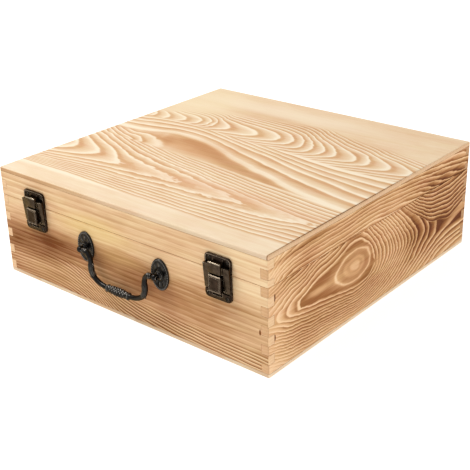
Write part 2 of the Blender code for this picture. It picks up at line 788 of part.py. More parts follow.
def build_latch(side, x, front_board, lid_rail):
    """One draw latch. Returns what rides on the lid."""
    build_base(side, x, front_board)
    lever, pivot = build_lever(side, x)
    claw, pin, link = build_claw(side, x)
    lever_axis = axis_empty(side + "_lever_axis", (x, pivot[0], pivot[1]))
    claw_axis = axis_empty(side + "_claw_axis", (x, link[0], link[1]), lever_axis)
    carry([lever, pin], lever_axis)
    carry([claw], claw_axis)
    return build_keeper(side, x, lid_rail)


def build_rose(side, x):
    """An oval backplate: a round turned rose, narrowed across, with a raised rim and a boss."""
    radius = ROSE_HEIGHT / 2
    profile = [
        (0, ROSE_BOSS),
        (POST_COLLAR_RADIUS, ROSE_BOSS),
        (ROSE_BOSS_RADIUS, ROSE_FIELD),
        (radius - ROSE_RIM_WIDTH, ROSE_FIELD),
        (radius - ROSE_RIM_WIDTH * 2 / 3, ROSE_RIM),
        (radius - ROSE_RIM_WIDTH / 3, ROSE_RIM),
        (radius, ROSE_EDGE),
        (radius, 0),
        (0, 0),
    ]
    place = (x, front_at(GAP), POST_HEIGHT)
    rose = turned(side + "_handle_rose", profile, 32, "bronze", place, (math.pi / 2, 0, 0))
    rose.scale.x = ROSE_WIDTH / ROSE_HEIGHT
    return rose


def build_post(side, x, rose, front_board):
    """A ball-headed post: collar on the rose, shank through the board, nut and washer inside."""
    seat = GAP + ROSE_BOSS + GAP
    inner_seat = BOARD + GAP
    nut_seat = inner_seat + WASHER_THICKNESS + GAP
    shank = nut_seat + NUT_HEIGHT + POST_SHANK_SPARE
    collar = seat + POST_COLLAR
    ball = POST_BALL_OUT
    meet = math.degrees(math.asin(POST_NECK_RADIUS / POST_BALL_RADIUS))
    profile = arc((0, ball), POST_BALL_RADIUS, 90, meet - 90, 7)
    profile[0] = (0, ball + POST_BALL_RADIUS)
    profile += [
        (POST_NECK_RADIUS, collar),
        (POST_COLLAR_RADIUS, (seat + collar) / 2),
        (POST_COLLAR_RADIUS, seat),
        (POST_SHANK_RADIUS, seat),
        (POST_SHANK_RADIUS, -shank),
        (0, -shank),
    ]
    place = (x, FRONT, POST_HEIGHT)
    post = turned(side + "_handle_post", profile, POST_STEPS, "bronze", place, (math.pi / 2, 0, 0))
    eye_ends = (x - POST_COLLAR_RADIUS - OVERRUN, x + POST_COLLAR_RADIUS + OVERRUN)
    eye_across = (front_at(ball), POST_HEIGHT)
    eye = rod(side + "_post_eye", BAIL_PIN_RADIUS + GAP, eye_ends, eye_across, "X", None, 12)
    boolean(post, eye)
    hole = POST_SHANK_RADIUS + GAP
    drill([rose, front_board], side + "_post_hole", x, POST_HEIGHT, -1, hole, BOARD + OVERRUN, 16)

    washer_y = (FRONT + inner_seat, FRONT + inner_seat + WASHER_THICKNESS)
    across = (x, POST_HEIGHT)
    washer = rod(side + "_handle_washer", WASHER_RADIUS, washer_y, across, "Y", "steel", 20)
    nut_y = (FRONT + nut_seat, FRONT + nut_seat + NUT_HEIGHT)
    nut = rod(side + "_handle_nut", NUT_RADIUS, nut_y, across, "Y", "steel", 6)
    bore_y = (FRONT + BOARD, FRONT + shank + OVERRUN)
    bore = rod(side + "_nut_bore", hole, bore_y, across, "Y", None, 16)
    boolean(washer, bore)
    boolean(nut, bore)


def smooth_path(points, step):
    """Points about one step apart on a centripetal curve through the points given."""
    ends = [points[0]] + list(points) + [points[-1]]
    path = []
    for before, start, end, after in zip(ends, ends[1:], ends[2:], ends[3:]):
        count = max(1, round(math.dist(start, end) / step))
        for i in range(count):
            t = i / count
            weights = (
                -0.5 * t**3 + t**2 - 0.5 * t,
                1.5 * t**3 - 2.5 * t**2 + 1,
                -1.5 * t**3 + 2 * t**2 + 0.5 * t,
                0.5 * t**3 - 0.5 * t**2,
            )
            corners = (before, start, end, after)
            across = sum(w * corner[0] for w, corner in zip(weights, corners))
            down = sum(w * corner[1] for w, corner in zip(weights, corners))
            path.append((across, down))
    return path + [points[-1]]


def bail_half():
    """Centre line and radius from the post to the grip, as (across, drop, radius)."""
    shoulder = POST_SPREAD / 2 - POST_BALL_RADIUS - GAP
    tip = POST_SPREAD / 2 + BAIL_PIN_PAST_POST
    half = BAIL_SPAN / 2
    grip = GRIP_LENGTH / 2
    bends = [(half * across, BAIL_DROP * down) for across, down in BAIL_BEND_SHARES]
    path = smooth_path([(shoulder, 0)] + bends + [(grip, BAIL_DROP)], BAIL_STEP)
    rows = [(tip, 0, BAIL_PIN_RADIUS), (shoulder, 0, BAIL_PIN_RADIUS)]
    for across, down in path:
        share = down / BAIL_DROP
        in_sheath = SHEATH_TOP_SHARE < share < SHEATH_BOTTOM_SHARE and across > grip
        rows.append((across, down, BAIL_SHEATH_RADIUS if in_sheath else BAIL_WIRE_RADIUS))
    rows[2] = (shoulder - GAP / 3, 0, BAIL_WIRE_RADIUS)
    count = round(grip / GRIP_STEP)
    for i in range(1, count + 1):
        across = grip * (1 - i / count)
        swell = math.sin(math.pi / 2 * i / count)
        radius = BAIL_WIRE_RADIUS + (GRIP_RADIUS - BAIL_WIRE_RADIUS) * swell
        if i == 2:
            radius = GRIP_BEAD_RADIUS
        rows.append((across, BAIL_DROP, radius))
    return rows


def build_bail():
    """The swinging bail: one swept wire with pins at its ends, leaf sheaths and a swollen grip."""
    half = bail_half()
    rows = half + [(-across, down, radius) for across, down, radius in reversed(half[:-1])]
    curve = bpy.data.curves.new("handle_bail", "CURVE")
    curve.dimensions = "3D"
    curve.bevel_depth = 1
    curve.bevel_resolution = 3
    curve.use_fill_caps = True
    spline = curve.splines.new("POLY")
    spline.points.add(len(rows) - 1)
    for target, (across, down, radius) in zip(spline.points, rows):
        target.co = (across, 0, -down, 1)
        target.radius = radius
    place = Matrix.Translation((0, front_at(POST_BALL_OUT), POST_HEIGHT))
    guide = bpy.data.objects.new("handle_bail_line", curve)
    bpy.context.scene.collection.objects.link(guide)
    guide.matrix_world = place
    bpy.context.view_layer.update()
    bail = mesh_from_curve("handle_bail", guide, place, "bronze")
    shade_smooth(bail)
    for i, direction in enumerate((-1, 1)):
        inner = (direction * BAIL_SPAN / 2, SHEATH_TOP_SHARE * BAIL_DROP, -direction)
        outer = (direction * BAIL_SPAN / 2 * 0.9, SHEATH_BOTTOM_SHARE * BAIL_DROP, direction)
        for label, (across, down, lean) in (("inner", inner), ("outer", outer)):
            boolean(bail, nib("bail_nib_%s_%d" % (label, i), across, down, lean), "UNION")
    axis = axis_empty("bail_axis", (0, front_at(POST_BALL_OUT), POST_HEIGHT))
    carry([bail], axis)


def nib(name, across, down, lean):
    """A small pointed leaf tip that stands off the bail's arm, to the side that lean gives."""
    bm = bmesh.new()
    bmesh.ops.create_cone(
        bm, cap_ends=True, segments=8, radius1=NIB_RADIUS, radius2=NIB_TIP_RADIUS, depth=NIB_LENGTH
    )
    bmesh.ops.translate(bm, verts=bm.verts, vec=(0, 0, NIB_LENGTH / 2))
    place = (across, front_at(POST_BALL_OUT), POST_HEIGHT - down)
    return add_mesh(name, mesh_from(bm, name), None, place, (0, lean * math.radians(100), 0))


def main():
    body_top = SEAM - GAP / 2
    lid_bottom = SEAM + GAP / 2
    body_trim = envelope("body_envelope", 0, body_top, True)
    lid_trim = envelope("lid_envelope", lid_bottom, BOX_HEIGHT, False)
    panel_top = BOX_HEIGHT - PANEL
    body_names = ("front_board", "back_board", "left_board", "right_board")
    lid_names = ("front_rail", "back_rail", "left_rail", "right_rail")
    body = build_frame("", body_names, 0, BODY_FINGERS, PANEL + GAP, body_top + OVERRUN, body_trim)
    lid = build_frame(
        "lid_", lid_names, BODY_FINGERS, LID_FINGERS, lid_bottom - OVERRUN, panel_top - GAP, lid_trim
    )
    build_panel("bottom_panel", -OVERRUN, PANEL, body_trim)
    lid_pieces = list(lid)
    lid_pieces.append(build_panel("lid_top_panel", panel_top, BOX_HEIGHT + OVERRUN, lid_trim))

    for side, direction in (("left", -1), ("right", 1)):
        lid_pieces += build_hinge(side, direction * HINGE_SPREAD / 2, body[1], lid[1])
        lid_pieces += build_latch(side, direction * LATCH_SPREAD / 2, body[0], lid[0])
        x = direction * POST_SPREAD / 2
        build_post(side, x, build_rose(side, x), body[0])
    build_bail()
    carry(lid_pieces, axis_empty("lid_axis", (0, HINGE_AXIS_Y, SEAM)))


main()
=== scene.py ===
import json
import math

import bmesh
import bpy
from mathutils import Matrix, Vector


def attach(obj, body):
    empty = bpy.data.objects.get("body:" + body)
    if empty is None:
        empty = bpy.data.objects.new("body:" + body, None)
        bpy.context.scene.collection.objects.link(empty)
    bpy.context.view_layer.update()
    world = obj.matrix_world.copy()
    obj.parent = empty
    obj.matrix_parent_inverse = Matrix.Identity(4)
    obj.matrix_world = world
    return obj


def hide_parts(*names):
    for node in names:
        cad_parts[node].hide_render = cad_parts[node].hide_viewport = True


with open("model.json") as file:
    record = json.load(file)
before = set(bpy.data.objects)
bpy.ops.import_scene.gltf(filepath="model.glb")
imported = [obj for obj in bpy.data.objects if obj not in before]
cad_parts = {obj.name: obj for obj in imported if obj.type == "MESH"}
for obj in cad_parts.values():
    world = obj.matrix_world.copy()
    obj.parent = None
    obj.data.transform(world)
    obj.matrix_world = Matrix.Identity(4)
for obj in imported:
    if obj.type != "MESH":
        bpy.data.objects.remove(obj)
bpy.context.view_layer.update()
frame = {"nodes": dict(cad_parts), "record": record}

NODES = frame["nodes"]
BODIES = frame["record"]["behaviour"]["bodies"]
BODY_OF = {node: body for body, nodes in BODIES.items() for node in nodes}

# Camera fitted to the photograph's visible edges
CAMERA_AZIMUTH = 40.33
CAMERA_ELEVATION = 24.70
CAMERA_ROLL = -1.41
CAMERA_PLACE = (0.6292, -0.7511, 0.4762)
CAMERA_LENS = 75.0
CAMERA_SENSOR = 36.0
CAMERA_NEAR = 0.01

# Light: a white room, one large soft lamp in front on the left, and a pale floor
ROOM_LIGHT = 0.62
LAMP_PLACE = (-1.15, -0.62, 2.2)
LAMP_SIZE = 0.9
LAMP_POWER = 56.0
LAMP_AIM = (0.0, 0.0, 0.06)
FLOOR_COLOUR = (0.5, 0.5, 0.5, 1.0)
FLOOR_HALF = 6
FLOOR_GLOW = 0.78

# Wood: how strongly the light falls on the top, the front and the sides, and the display colours of
# each from pale to dark at that light
TOP_LIGHT = 1.37
FRONT_LIGHT = 1.25
SIDE_LIGHT = 0.97

TOP_STOPS = [
    (0, (255, 238, 210)), (0.35, (241, 211, 174)), (0.7, (222, 176, 130)), (1, (194, 138, 90)),
]
FRONT_STOPS = [
    (0, (255, 224, 178)), (0.3, (234, 191, 144)), (0.6, (194, 143, 96)), (1, (124, 66, 18)),
]
SIDE_STOPS = [
    (0, (250, 211, 166)), (0.35, (220, 169, 119)), (0.7, (164, 108, 60)), (1, (108, 54, 16)),
]

# Patches of another tint: centre, reach, share and colour. The top's last patch is painted shade, a
# dark line along its right arris
TOP_STAINS_AND_SHADE = [
    ((-150, 120), (50, 60), 0.4, (252, 236, 196)), ((-30, 140), (110, 16), 0.4, (255, 240, 214)),
    ((60, -92), (110, 13), 0.35, (236, 184, 146)), ((-50, -12), (60, 24), 0.3, (226, 170, 122)),
    # painted shade: a thin dark line along the top's right arris, where the gap to the side is in
    # shadow
    ((177.2, -70), (1.6, 125), 0.9, (112, 72, 42)),
]
FRONT_STAINS = [
    ((-40, 86), (44, 12), 0.5, (238, 202, 122)), ((-6, 66), (24, 8), 0.22, (230, 190, 116)),
    ((-70, 20), (60, 10), 0.2, (214, 168, 110)), ((40, 40), (46, 12), 0.2, (196, 132, 92)),
]

# Darker patches (paler below 0) of each face: centre, reach, turn, soft share and amount
TOP_SHADES = [
    ((0, -20), (116, 22), -14, 0.6, 0.12), ((-58, -13), (54, 22), -10, 0.5, 0.14),
    ((-20, 164), (190, 9), 0, 0.5, 0.03), ((20, 105), (120, 14), -6, 0.5, 0.12),
]
FRONT_SHADES = [
    ((-135, 44), (58, 17), 3, 0.5, 0.2), ((-150, 38), (34, 7), 0, 0.7, 0.06),
    ((-118, 54), (46, 7), 4, 0.7, 0.14), ((-78, 54), (34, 13), 0, 0.7, 0.14),
    ((5, 55), (62, 19), 0, 0.7, 0.16), ((80, 40), (60, 14), 0, 0.7, 0.08),
    ((-34, 88), (30, 12), 0, 0.6, -0.06), ((168, 44), (0.9, 2.6), 0, 0.3, 1.0),
]
SIDE_SHADES = [
    ((118, 46), (22, 8), 0, 0.5, 0.22), ((165, 42), (26, 9), 0, 0.5, 0.3),
    ((120, 60), (72, 28), 0, 0.6, 0.2), ((72, 46), (20, 22), -20, 0.6, 0.1),
    ((-128, 112), (46, 3), 5, 0.7, 0.3), ((-150, 88), (44, 8), 22, 0.7, 0.14),
    ((70, 106), (120, 9), -3, 0.7, 0.08), ((-100, 26), (90, 16), 0, 0.7, 0.06),
    ((-168.6, 77.5), (0.9, 3.6), 0, 0.3, 0.9), ((-168.6, 38), (0.9, 3), 0, 0.3, 0.9),
    ((30, 55), (30, 30), 0, 0.6, -0.06), ((-104, 57), (34, 13), 0, 0.6, -0.14),
]

WOOD_SHINE = 0.07
WOOD_ROUGHNESS = 0.7
WOOD_GRAIN = 0.00012

# Metals: dark and bright colour, the colour of worn edges and painted highlights, and roughness
BRONZE_TONES = ((0.013, 0.008, 0.006, 1), (0.046, 0.029, 0.020, 1), (0.58, 0.46, 0.33, 1), 0.3)
# The claw: a brighter copy of the bronze, painted light where the lamp catches it
CLAW_LIT_TONES = ((0.023, 0.0155, 0.010, 1), (0.078, 0.054, 0.036, 1), (0.8, 0.68, 0.5, 1), 0.28)
SCREW_TONES = ((0.012, 0.009, 0.007, 1), (0.045, 0.036, 0.028, 1), (0.3, 0.26, 0.2, 1), 0.34)
IRON_TONES = ((0.008, 0.008, 0.008, 1), (0.030, 0.028, 0.027, 1), (0.46, 0.43, 0.38, 1), 0.3)
STEEL_TONES = ((0.30, 0.29, 0.27, 1), (0.45, 0.43, 0.40, 1), (0.7, 0.68, 0.64, 1), 0.32)
# Painted shade: the near black of the screws' slots
SLOT_SHADE_COLOUR = (0.002, 0.0015, 0.001, 1)
METAL_TINT = (0.75, 0.62, 0.45, 1)
METAL_SHARE = 0.92
METAL_GRAIN = 0.00008
# How far round an edge the colour of wear and painted highlight reaches, in m
WEAR_AND_HIGHLIGHT_REACH = 0.0006
# Painted highlight lines on the front faces of the claw and the lever: heights in mm and strength
CLAW_HIGHLIGHT_LINES = [(100.1, 101.0, 0.4)]
LEVER_HIGHLIGHT_LINES = [(87.6, 88.3, 0.55), (71.7, 72.5, 0.5)]

# Copies of CAD pieces: widths in m, and the angles from which a face bends and an edge is sharp
WELD = 0.00001
EDGE_WIDTH = 0.0002
EDGE_SEGMENTS = 2
EDGE_ANGLE = math.radians(35)
FLAT_ANGLE = math.radians(1)
CREASE_ANGLE = math.radians(50)

# The bail, in mm: half its line at rest as (x, z), its place in y, and the sizes of its parts
BAIL_LINE = [
    (46.7, 64.5), (41.66, 63.87), (38.16, 60.4), (36.87, 55.05), (36.87, 48.75), (35.83, 43.24),
    (32.07, 38.2), (25.07, 34.64), (17, 33.1), (8, 33), (0, 33),
]
BAIL_OUT = -186.0
BAIL_ENDS = (52.9, 52.7, 50)
BAIL_SHOULDER = 46.7
BAIL_STEP = 0.45
BAIL_SIDES = 48
TIP_RADIUS = 1.1
EYE_RADIUS = 1.5
ARM_RADIUS = 2.6
GRIP_HALF = 17.0
GRIP_SWELL = 2.19
GRIP_PITCH = 3.6
CARVING_ENDS = (12.6, 11.4)
CARVING_DEPTH = 1.15
COLLAR_PLACE = 14.17
COLLAR_RADIUS = 4.2
SHEATH_TOP = 53.4
SHEATH_BOTTOM = 39.2
SHEATH_POINT = 3.2
RINGS = ((42.6, 0.7), (44.6, 0.5))
NIBS = (("inner", 36.87, 53.2, -1), ("outer", 33.2, 39.3, 1))
NIB_LINE = ((0, 0), (2.2, 0.2), (3.5, 0.5), (4.2, 1.1))
NIB_STEP = 0.3
NIB_SIDES = 16
NIB_RADIUS = 1.55
NIB_TAPER = 1.1

# The roses, in mm: section as (radius, height), width as a share of the height, and ornament
ROSE_MIDDLE = 50.5
ROSE_SHARE = 22.2 / 32.6
ROSE_SIDES = 144
ROSE_STEP = 0.45
ROSE_PROFILE = [
    (2.4, 0.3), (2.4, 2.3), (4.2, 2.3), (4.8, 2.1), (6.2, 1.3), (6.8, 1.3), (13.2, 1.3),
    (13.7, 1.3), (14.2, 1.9), (14.6, 2.1), (15.4, 2.1), (15.9, 1.7), (16.3, 0.8), (16.3, 0.0),
    (10, 0.0), (2.4, 0.0),
]
BEAD_PAIRS = 18
BEAD_DEPTH = 0.8
LEAF_PAIRS = 4
LEAF_HEIGHT = 0.55

# The board's face, the latch plates and their raised lines, in mm
PLATE_BACK = -177.8
PLATE_FRONT = -178.92
PLATE_MIDDLE = (123.29, 84.4)
PLATE_HALF = (15.25, 21.75)
PLATE_CORNER = 4.5
BORDER_INSET = 1.5
BORDER_RADIUS = 0.3
BORDER_END_RADIUS = 0.2
BORDER_SIDES = 10
BORDER_STARTS = {"keeper": 7.6, "base": -3.4}
CORNER_STEPS = 8


def linear(red, green, blue):
    """A display colour of 0 to 255 as the linear colour that a shader takes."""
    return tuple(
        c / 255 / 12.92 if c / 255 <= 0.04045 else ((c / 255 + 0.055) / 1.055) ** 2.4
        for c in (red, green, blue)
    ) + (1.0,)


def make_camera():
    camera = bpy.data.objects.new("camera", bpy.data.cameras.new("camera"))
    bpy.context.scene.collection.objects.link(camera)
    camera.data.lens = CAMERA_LENS
    camera.data.sensor_width = CAMERA_SENSOR
    camera.data.clip_start = CAMERA_NEAR
    azimuth = math.radians(CAMERA_AZIMUTH)
    elevation = math.radians(CAMERA_ELEVATION)
    roll = math.radians(CAMERA_ROLL)
    level = math.cos(elevation)
    back = Vector((math.sin(azimuth) * level, -math.cos(azimuth) * level, math.sin(elevation)))
    right = Vector((math.cos(azimuth), math.sin(azimuth), 0))
    up = back.cross(right)
    across = right * math.cos(roll) + up * math.sin(roll)
    upward = up * math.cos(roll) - right * math.sin(roll)
    turn = Matrix((across, upward, back)).transposed().to_4x4()
    camera.matrix_world = Matrix.Translation(CAMERA_PLACE) @ turn
    bpy.context.scene.camera = camera


def make_light():
    world = bpy.data.worlds.new("room")
    world.use_nodes = True
    room = world.node_tree.nodes["Background"]
    room.inputs["Color"].default_value = (1, 1, 1, 1)
    room.inputs["Strength"].default_value = ROOM_LIGHT
    bpy.context.scene.world = world
    lamp = bpy.data.objects.new("lamp", bpy.data.lights.new("lamp", "AREA"))
    bpy.context.scene.collection.objects.link(lamp)
    lamp.data.energy = LAMP_POWER
    lamp.data.size = LAMP_SIZE
    lamp.location = LAMP_PLACE
    aim = Vector(LAMP_AIM) - Vector(LAMP_PLACE)
    lamp.rotation_mode = "QUATERNION"
    lamp.rotation_quaternion = aim.to_track_quat("-Z", "Y")
    bpy.context.scene.view_settings.view_transform = "Standard"


def make_floor():
    bm = bmesh.new()
    bmesh.ops.create_grid(bm, x_segments=1, y_segments=1, size=FLOOR_HALF)
    mesh = bpy.data.meshes.new("floor")
    bm.to_mesh(mesh)
    bm.free()
    floor = bpy.data.objects.new("floor", mesh)
    bpy.context.scene.collection.objects.link(floor)
    finish = bpy.data.materials.new("floor")
    finish.use_nodes = True
    shader = finish.node_tree.nodes["Principled BSDF"]
    shader.inputs["Base Color"].default_value = FLOOR_COLOUR
    shader.inputs["Roughness"].default_value = 0.9
    shader.inputs["Specular IOR Level"].default_value = 0.1
    shader.inputs["Emission Color"].default_value = (1, 1, 1, 1)
    shader.inputs["Emission Strength"].default_value = FLOOR_GLOW
    mesh.materials.append(finish)


class Value:
    """A number worked out by a material's nodes, with the usual arithmetic."""

    def __init__(self, tree, socket):
        self.tree = tree
        self.socket = socket

    def math(self, operation, *others):
        node = self.tree.nodes.new("ShaderNodeMath")
        node.operation = operation
        for slot, item in zip(node.inputs, (self, *others)):
            if isinstance(item, Value):
                self.tree.links.new(item.socket, slot)
            else:
                slot.default_value = item
        return Value(self.tree, node.outputs[0])

    def __add__(self, other):
        return self.math("ADD", other)

    def __sub__(self, other):
        return self.math("SUBTRACT", other)

    def __mul__(self, other):
        return self.math("MULTIPLY", other)

    def __truediv__(self, other):
        return self.math("DIVIDE", other)

    def __neg__(self):
        return self.math("MULTIPLY", -1)

    def __radd__(self, other):
        return self.math("ADD", other)

    def __rmul__(self, other):
        return self.math("MULTIPLY", other)

    def __rsub__(self, other):
        return (-self).math("ADD", other)

    def power(self, exponent):
        return self.math("POWER", exponent)

    def size(self):
        return self.math("ABSOLUTE")

    def least(self, other):
        return self.math("MINIMUM", other)

    def most(self, other):
        return self.math("MAXIMUM", other)

    def part(self):
        return self.math("FRACT")


class Finish:
    """One material: its coordinates at rest, and the nodes that make its colour."""

    def __init__(self, name):
        self.material = bpy.data.materials.new(name)
        self.material.use_nodes = True
        self.tree = self.material.node_tree
        self.shader = self.tree.nodes["Principled BSDF"]
        place = self.add("ShaderNodeTexCoord")
        self.x, self.y, self.z = (axis * 1000 for axis in self.axes(place.outputs["Object"]))
        self.normal = self.axes(place.outputs["Normal"])

    def add(self, kind, **settings):
        node = self.tree.nodes.new(kind)
        for key, value in settings.items():
            setattr(node, key, value)
        return node

    def link(self, item, slot):
        if isinstance(item, Value):
            self.tree.links.new(item.socket, slot)
        else:
            slot.default_value = item

    def axes(self, socket):
        split = self.add("ShaderNodeSeparateXYZ")
        self.tree.links.new(socket, split.inputs[0])
        return [Value(self.tree, output) for output in split.outputs]

    def vector(self, x, y, z):
        join = self.add("ShaderNodeCombineXYZ")
        for item, slot in zip((x, y, z), join.inputs):
            self.link(item, slot)
        return Value(self.tree, join.outputs[0])

    def noise(self, x, y, z, detail, roughness=0.5):
        """Smooth noise about zero, from about -0.5 to 0.5, one wave per unit."""
        node = self.add("ShaderNodeTexNoise")
        self.link(self.vector(x, y, z), node.inputs["Vector"])
        node.inputs["Scale"].default_value = 1.0
        node.inputs["Detail"].default_value = detail
        node.inputs["Roughness"].default_value = roughness
        return Value(self.tree, node.outputs["Fac"]) - 0.5

    def curve(self, value, points):
        """A smooth curve through the (value, result) points given."""
        first, last = points[0][0], points[-1][0]
        results = [result for _, result in points]
        low, high = min(results), max(results)
        spread = (high - low) or 1.0
        node = self.add("ShaderNodeFloatCurve")
        line = node.mapping.curves[0]
        for _ in points[2:]:
            line.points.new(0.5, 0.5)
        for target, (at, result) in zip(line.points, points):
            target.location = ((at - first) / (last - first), (result - low) / spread)
            target.handle_type = "AUTO"
        node.mapping.update()
        self.link((value - first) / (last - first), node.inputs["Value"])
        return Value(self.tree, node.outputs[0]) * spread + low

    def ramp(self, value, start, end, kind="LINEAR"):
        """0 at the start and 1 at the end."""
        node = self.add("ShaderNodeMapRange", interpolation_type=kind)
        self.link(value, node.inputs["Value"])
        self.link(start, node.inputs["From Min"])
        self.link(end, node.inputs["From Max"])
        return Value(self.tree, node.outputs[0])

    def soft(self, value, start, end):
        """0 at the start and 1 at the end, smooth at both."""
        return self.ramp(value, start, end, "SMOOTHSTEP")

    def patch(self, across, up, centre, reach, turn, edge):
        """1 in an ellipse, fading to 0 round its rim over the edge, a share of the reach."""
        a, b = math.cos(math.radians(turn)), math.sin(math.radians(turn))
        dx = across - centre[0]
        dy = up - centre[1]
        u = (dx * a + dy * b) / reach[0]
        v = (dy * a - dx * b) / reach[1]
        distance = (u * u + v * v).math("SQRT")
        return self.soft(distance, 1 + edge, 1 - edge)

    def patches(self, across, up, table):
        """The sum of the patches in a table, each by its amount."""
        total = 0
        for centre, reach, turn, edge, amount in table:
            total = total + self.patch(across, up, centre, reach, turn, edge) * amount
        return total

    def mix(self, factor, first, second):
        node = self.add("ShaderNodeMix", data_type="RGBA")
        self.link(factor, node.inputs["Factor"])
        self.link(first, node.inputs["A"])
        self.link(second, node.inputs["B"])
        return Value(self.tree, node.outputs["Result"])

    def choose(self, factor, first, second):
        """The first value where the factor is 0 and the second where it is 1."""
        return first + (second - first) * factor

    def bump(self, height, distance, strength):
        node = self.add("ShaderNodeBump")
        node.inputs["Strength"].default_value = strength
        node.inputs["Distance"].default_value = distance
        self.link(height, node.inputs["Height"])
        self.tree.links.new(node.outputs[0], self.shader.inputs["Normal"])


def ring_tone(n, field):
    """0 on the pale line at each whole number, dark just past it, and fading to the next one."""
    return n.curve(
        field.part(),
        [(0, 0), (0.07, 0.12), (0.2, 1), (0.5, 0.7), (0.82, 0.36), (0.93, 0.12), (1, 0)],
    )


def figure_top(n, x, y):
    """Rings of the lid's flat-sawn panel: four families of ring lines, each from its own lines.

    Cathedrals that point right lie over long sweeps. Under them a bare patch, small tongues at the
    left, and a second row of cathedrals between two dense bundles.
    """
    y = y + n.noise(x / 60, y / 30, 0.0, 1) * 2.4 + n.noise(x / 13, y / 9, 4.0, 1) * 1.7
    x = x + n.noise(x / 30, y / 7, 3.0, 1) * 4.5

    apex = n.curve(x, [
        (-190, -2.2), (-150, 0), (-128, 1), (-107, 2), (-94, 3), (-86, 4), (-66, 5), (-27, 6),
        (3, 7), (22, 8), (38, 9), (53, 10), (68, 11), (83, 12), (108, 13), (125, 14), (150, 15),
        (175, 16), (190, 16.6),
    ])
    axis = n.curve(x, [
        (-190, 44), (-150, 48), (-107, 55), (-27, 58), (3, 60), (30, 57), (57, 52), (107, 54),
        (190, 52),
    ])
    quick = n.curve(x, [
        (-190, 1.3), (-105, 1.2), (-60, 1.05), (0, 0.98), (60, 0.93), (105, 1.02), (150, 1.15),
        (190, 1.2),
    ])
    leg = n.curve((y - axis).most(0) * quick, [
        (0, 0), (8, 0.12), (14, 0.4), (22, 1), (30, 2), (36.5, 3), (43, 4), (48.5, 5), (54, 6),
        (75, 10),
    ])
    foot = n.curve((axis - y).most(0), [(0, 0), (6, 0.12), (12, 0.6), (16, 1.1), (22, 2), (60, 7)])
    tone = ring_tone(n, apex + leg + foot)

    sweep_1 = n.curve(x, [
        (-190, -1), (-150, 0), (-135, 3), (-120, 8), (-105, 13), (-90, 14.5), (-75, 14), (-60, 12),
        (-45, 8), (-30, 3), (-15, -3), (0, -10), (15, -15), (30, -20), (45, -26), (60, -29),
        (75, -34), (90, -40), (120, -49), (190, -62),
    ])
    sweep_3 = n.curve(x, [
        (-190, 16), (-165, 22), (-150, 27), (-120, 33), (-90, 35), (-60, 31), (-30, 24), (0, 17),
        (30, 11), (60, 2), (90, -5), (120, -11), (150, -18), (190, -24),
    ])
    sweep_6 = n.curve(x, [
        (-190, 46), (-150, 58), (-120, 60), (-90, 56), (-60, 50), (-30, 43), (0, 38), (30, 32),
        (60, 28), (90, 23), (120, 21), (150, 22), (190, 24),
    ])
    sweeps = 7 - n.ramp(y, sweep_1, sweep_3) * 2 - n.ramp(y, sweep_3, sweep_6) * 3
    sweeps = sweeps + (sweep_1 - y).most(0) / 62
    edge = n.curve(x, [
        (-190, 38), (-150, 43), (-120, 45), (-90, 42), (-60, 40), (-30, 38), (0, 36), (60, 32),
        (120, 27), (190, 30),
    ])
    tone = n.choose(n.soft(y, edge + 2, edge - 3), tone, ring_tone(n, sweeps))

    tongue = n.curve(x, [(-190, -3), (-150, 0), (-128, 1), (-113, 2), (-87, 3), (190, 3.4)])
    slant = n.curve(x, [
        (-190, 1), (-150, 1), (-135, 0.8), (-120, 0.5), (-105, 0.27), (-88, 0.1), (190, 0.1),
    ])
    tongue = tongue + (y + 33).size() / 7 * slant
    place = n.soft(x, -72.0, -92.0) * n.soft(y, sweep_1 - 5, sweep_1 - 14)
    tone = n.choose(place, tone, ring_tone(n, tongue))

    apex = n.curve(x, [
        (-190, 2.2), (-165, 3), (-128, 4), (-85, 5), (-3, 6), (80, 7), (160, 8), (190, 8.2),
    ])
    axis = n.curve(x, [
        (-190, -82), (-165, -84), (-128, -86), (-105, -92), (-85, -98), (-3, -99), (80, -104),
        (190, -104),
    ])
    upper_8 = n.curve(x, [
        (-190, -18), (-165, -25), (-150, -32), (-120, -44), (-90, -54), (-60, -61), (-30, -68),
        (0, -72), (30, -79), (60, -83), (90, -89), (120, -94), (150, -99), (190, -101),
    ])
    upper_14 = n.curve(x, [
        (-190, 20), (-150, -2), (-120, -16), (-90, -22), (-60, -32), (-30, -39), (0, -43),
        (30, -47), (60, -52), (90, -55), (120, -58), (150, -61), (190, -65),
    ])
    lower_8 = n.curve(x, [
        (-190, -134), (-150, -130), (-120, -126), (-90, -124), (-45, -124), (0, -121), (45, -120),
        (75, -118), (105, -118), (135, -114), (150, -111), (162, -107), (190, -106),
    ])
    lower_14 = n.curve(x, [
        (-190, -149), (-120, -148), (-60, -150), (0, -153), (90, -155), (190, -154),
    ])
    rise = n.ramp(y, axis, upper_8).power(1.7)
    slow = n.curve(x, [(-190, 2.5), (-120, 2.3), (-75, 1.4), (190, 1.35)])
    fall = n.ramp(y, axis, lower_8).power(slow)
    dense = n.ramp(y, upper_8, upper_14) + n.ramp(y, lower_8, lower_14)
    rows = apex + (8 - apex) * (rise + fall) + dense * 6
    ragged = n.noise(x / 16, y / 5, 7.0, 2, 0.6) * n.soft(x, -150.0, -20.0)
    rows = rows + ragged * n.soft(rows, 9.2, 7.6) * 0.8
    edge = n.curve(x, [
        (-190, -30), (-150, -33), (-90, -36), (-60, -39), (-30, -40), (0, -42), (60, -50),
        (120, -56), (190, -64),
    ])
    tone = n.choose(n.soft(y, edge + 2, edge - 3), tone, ring_tone(n, rows))

    top = n.curve(x, [
        (-190, 62), (-165, 66), (-150, 77), (-120, 91), (-90, 101), (-60, 106), (-15, 114),
        (30, 121), (60, 113), (90, 106), (120, 101), (165, 93), (190, 88),
    ])
    calm = n.soft(y, top + 3, top - 9) * n.soft(y, -157.0, -149.0)
    return tone, calm


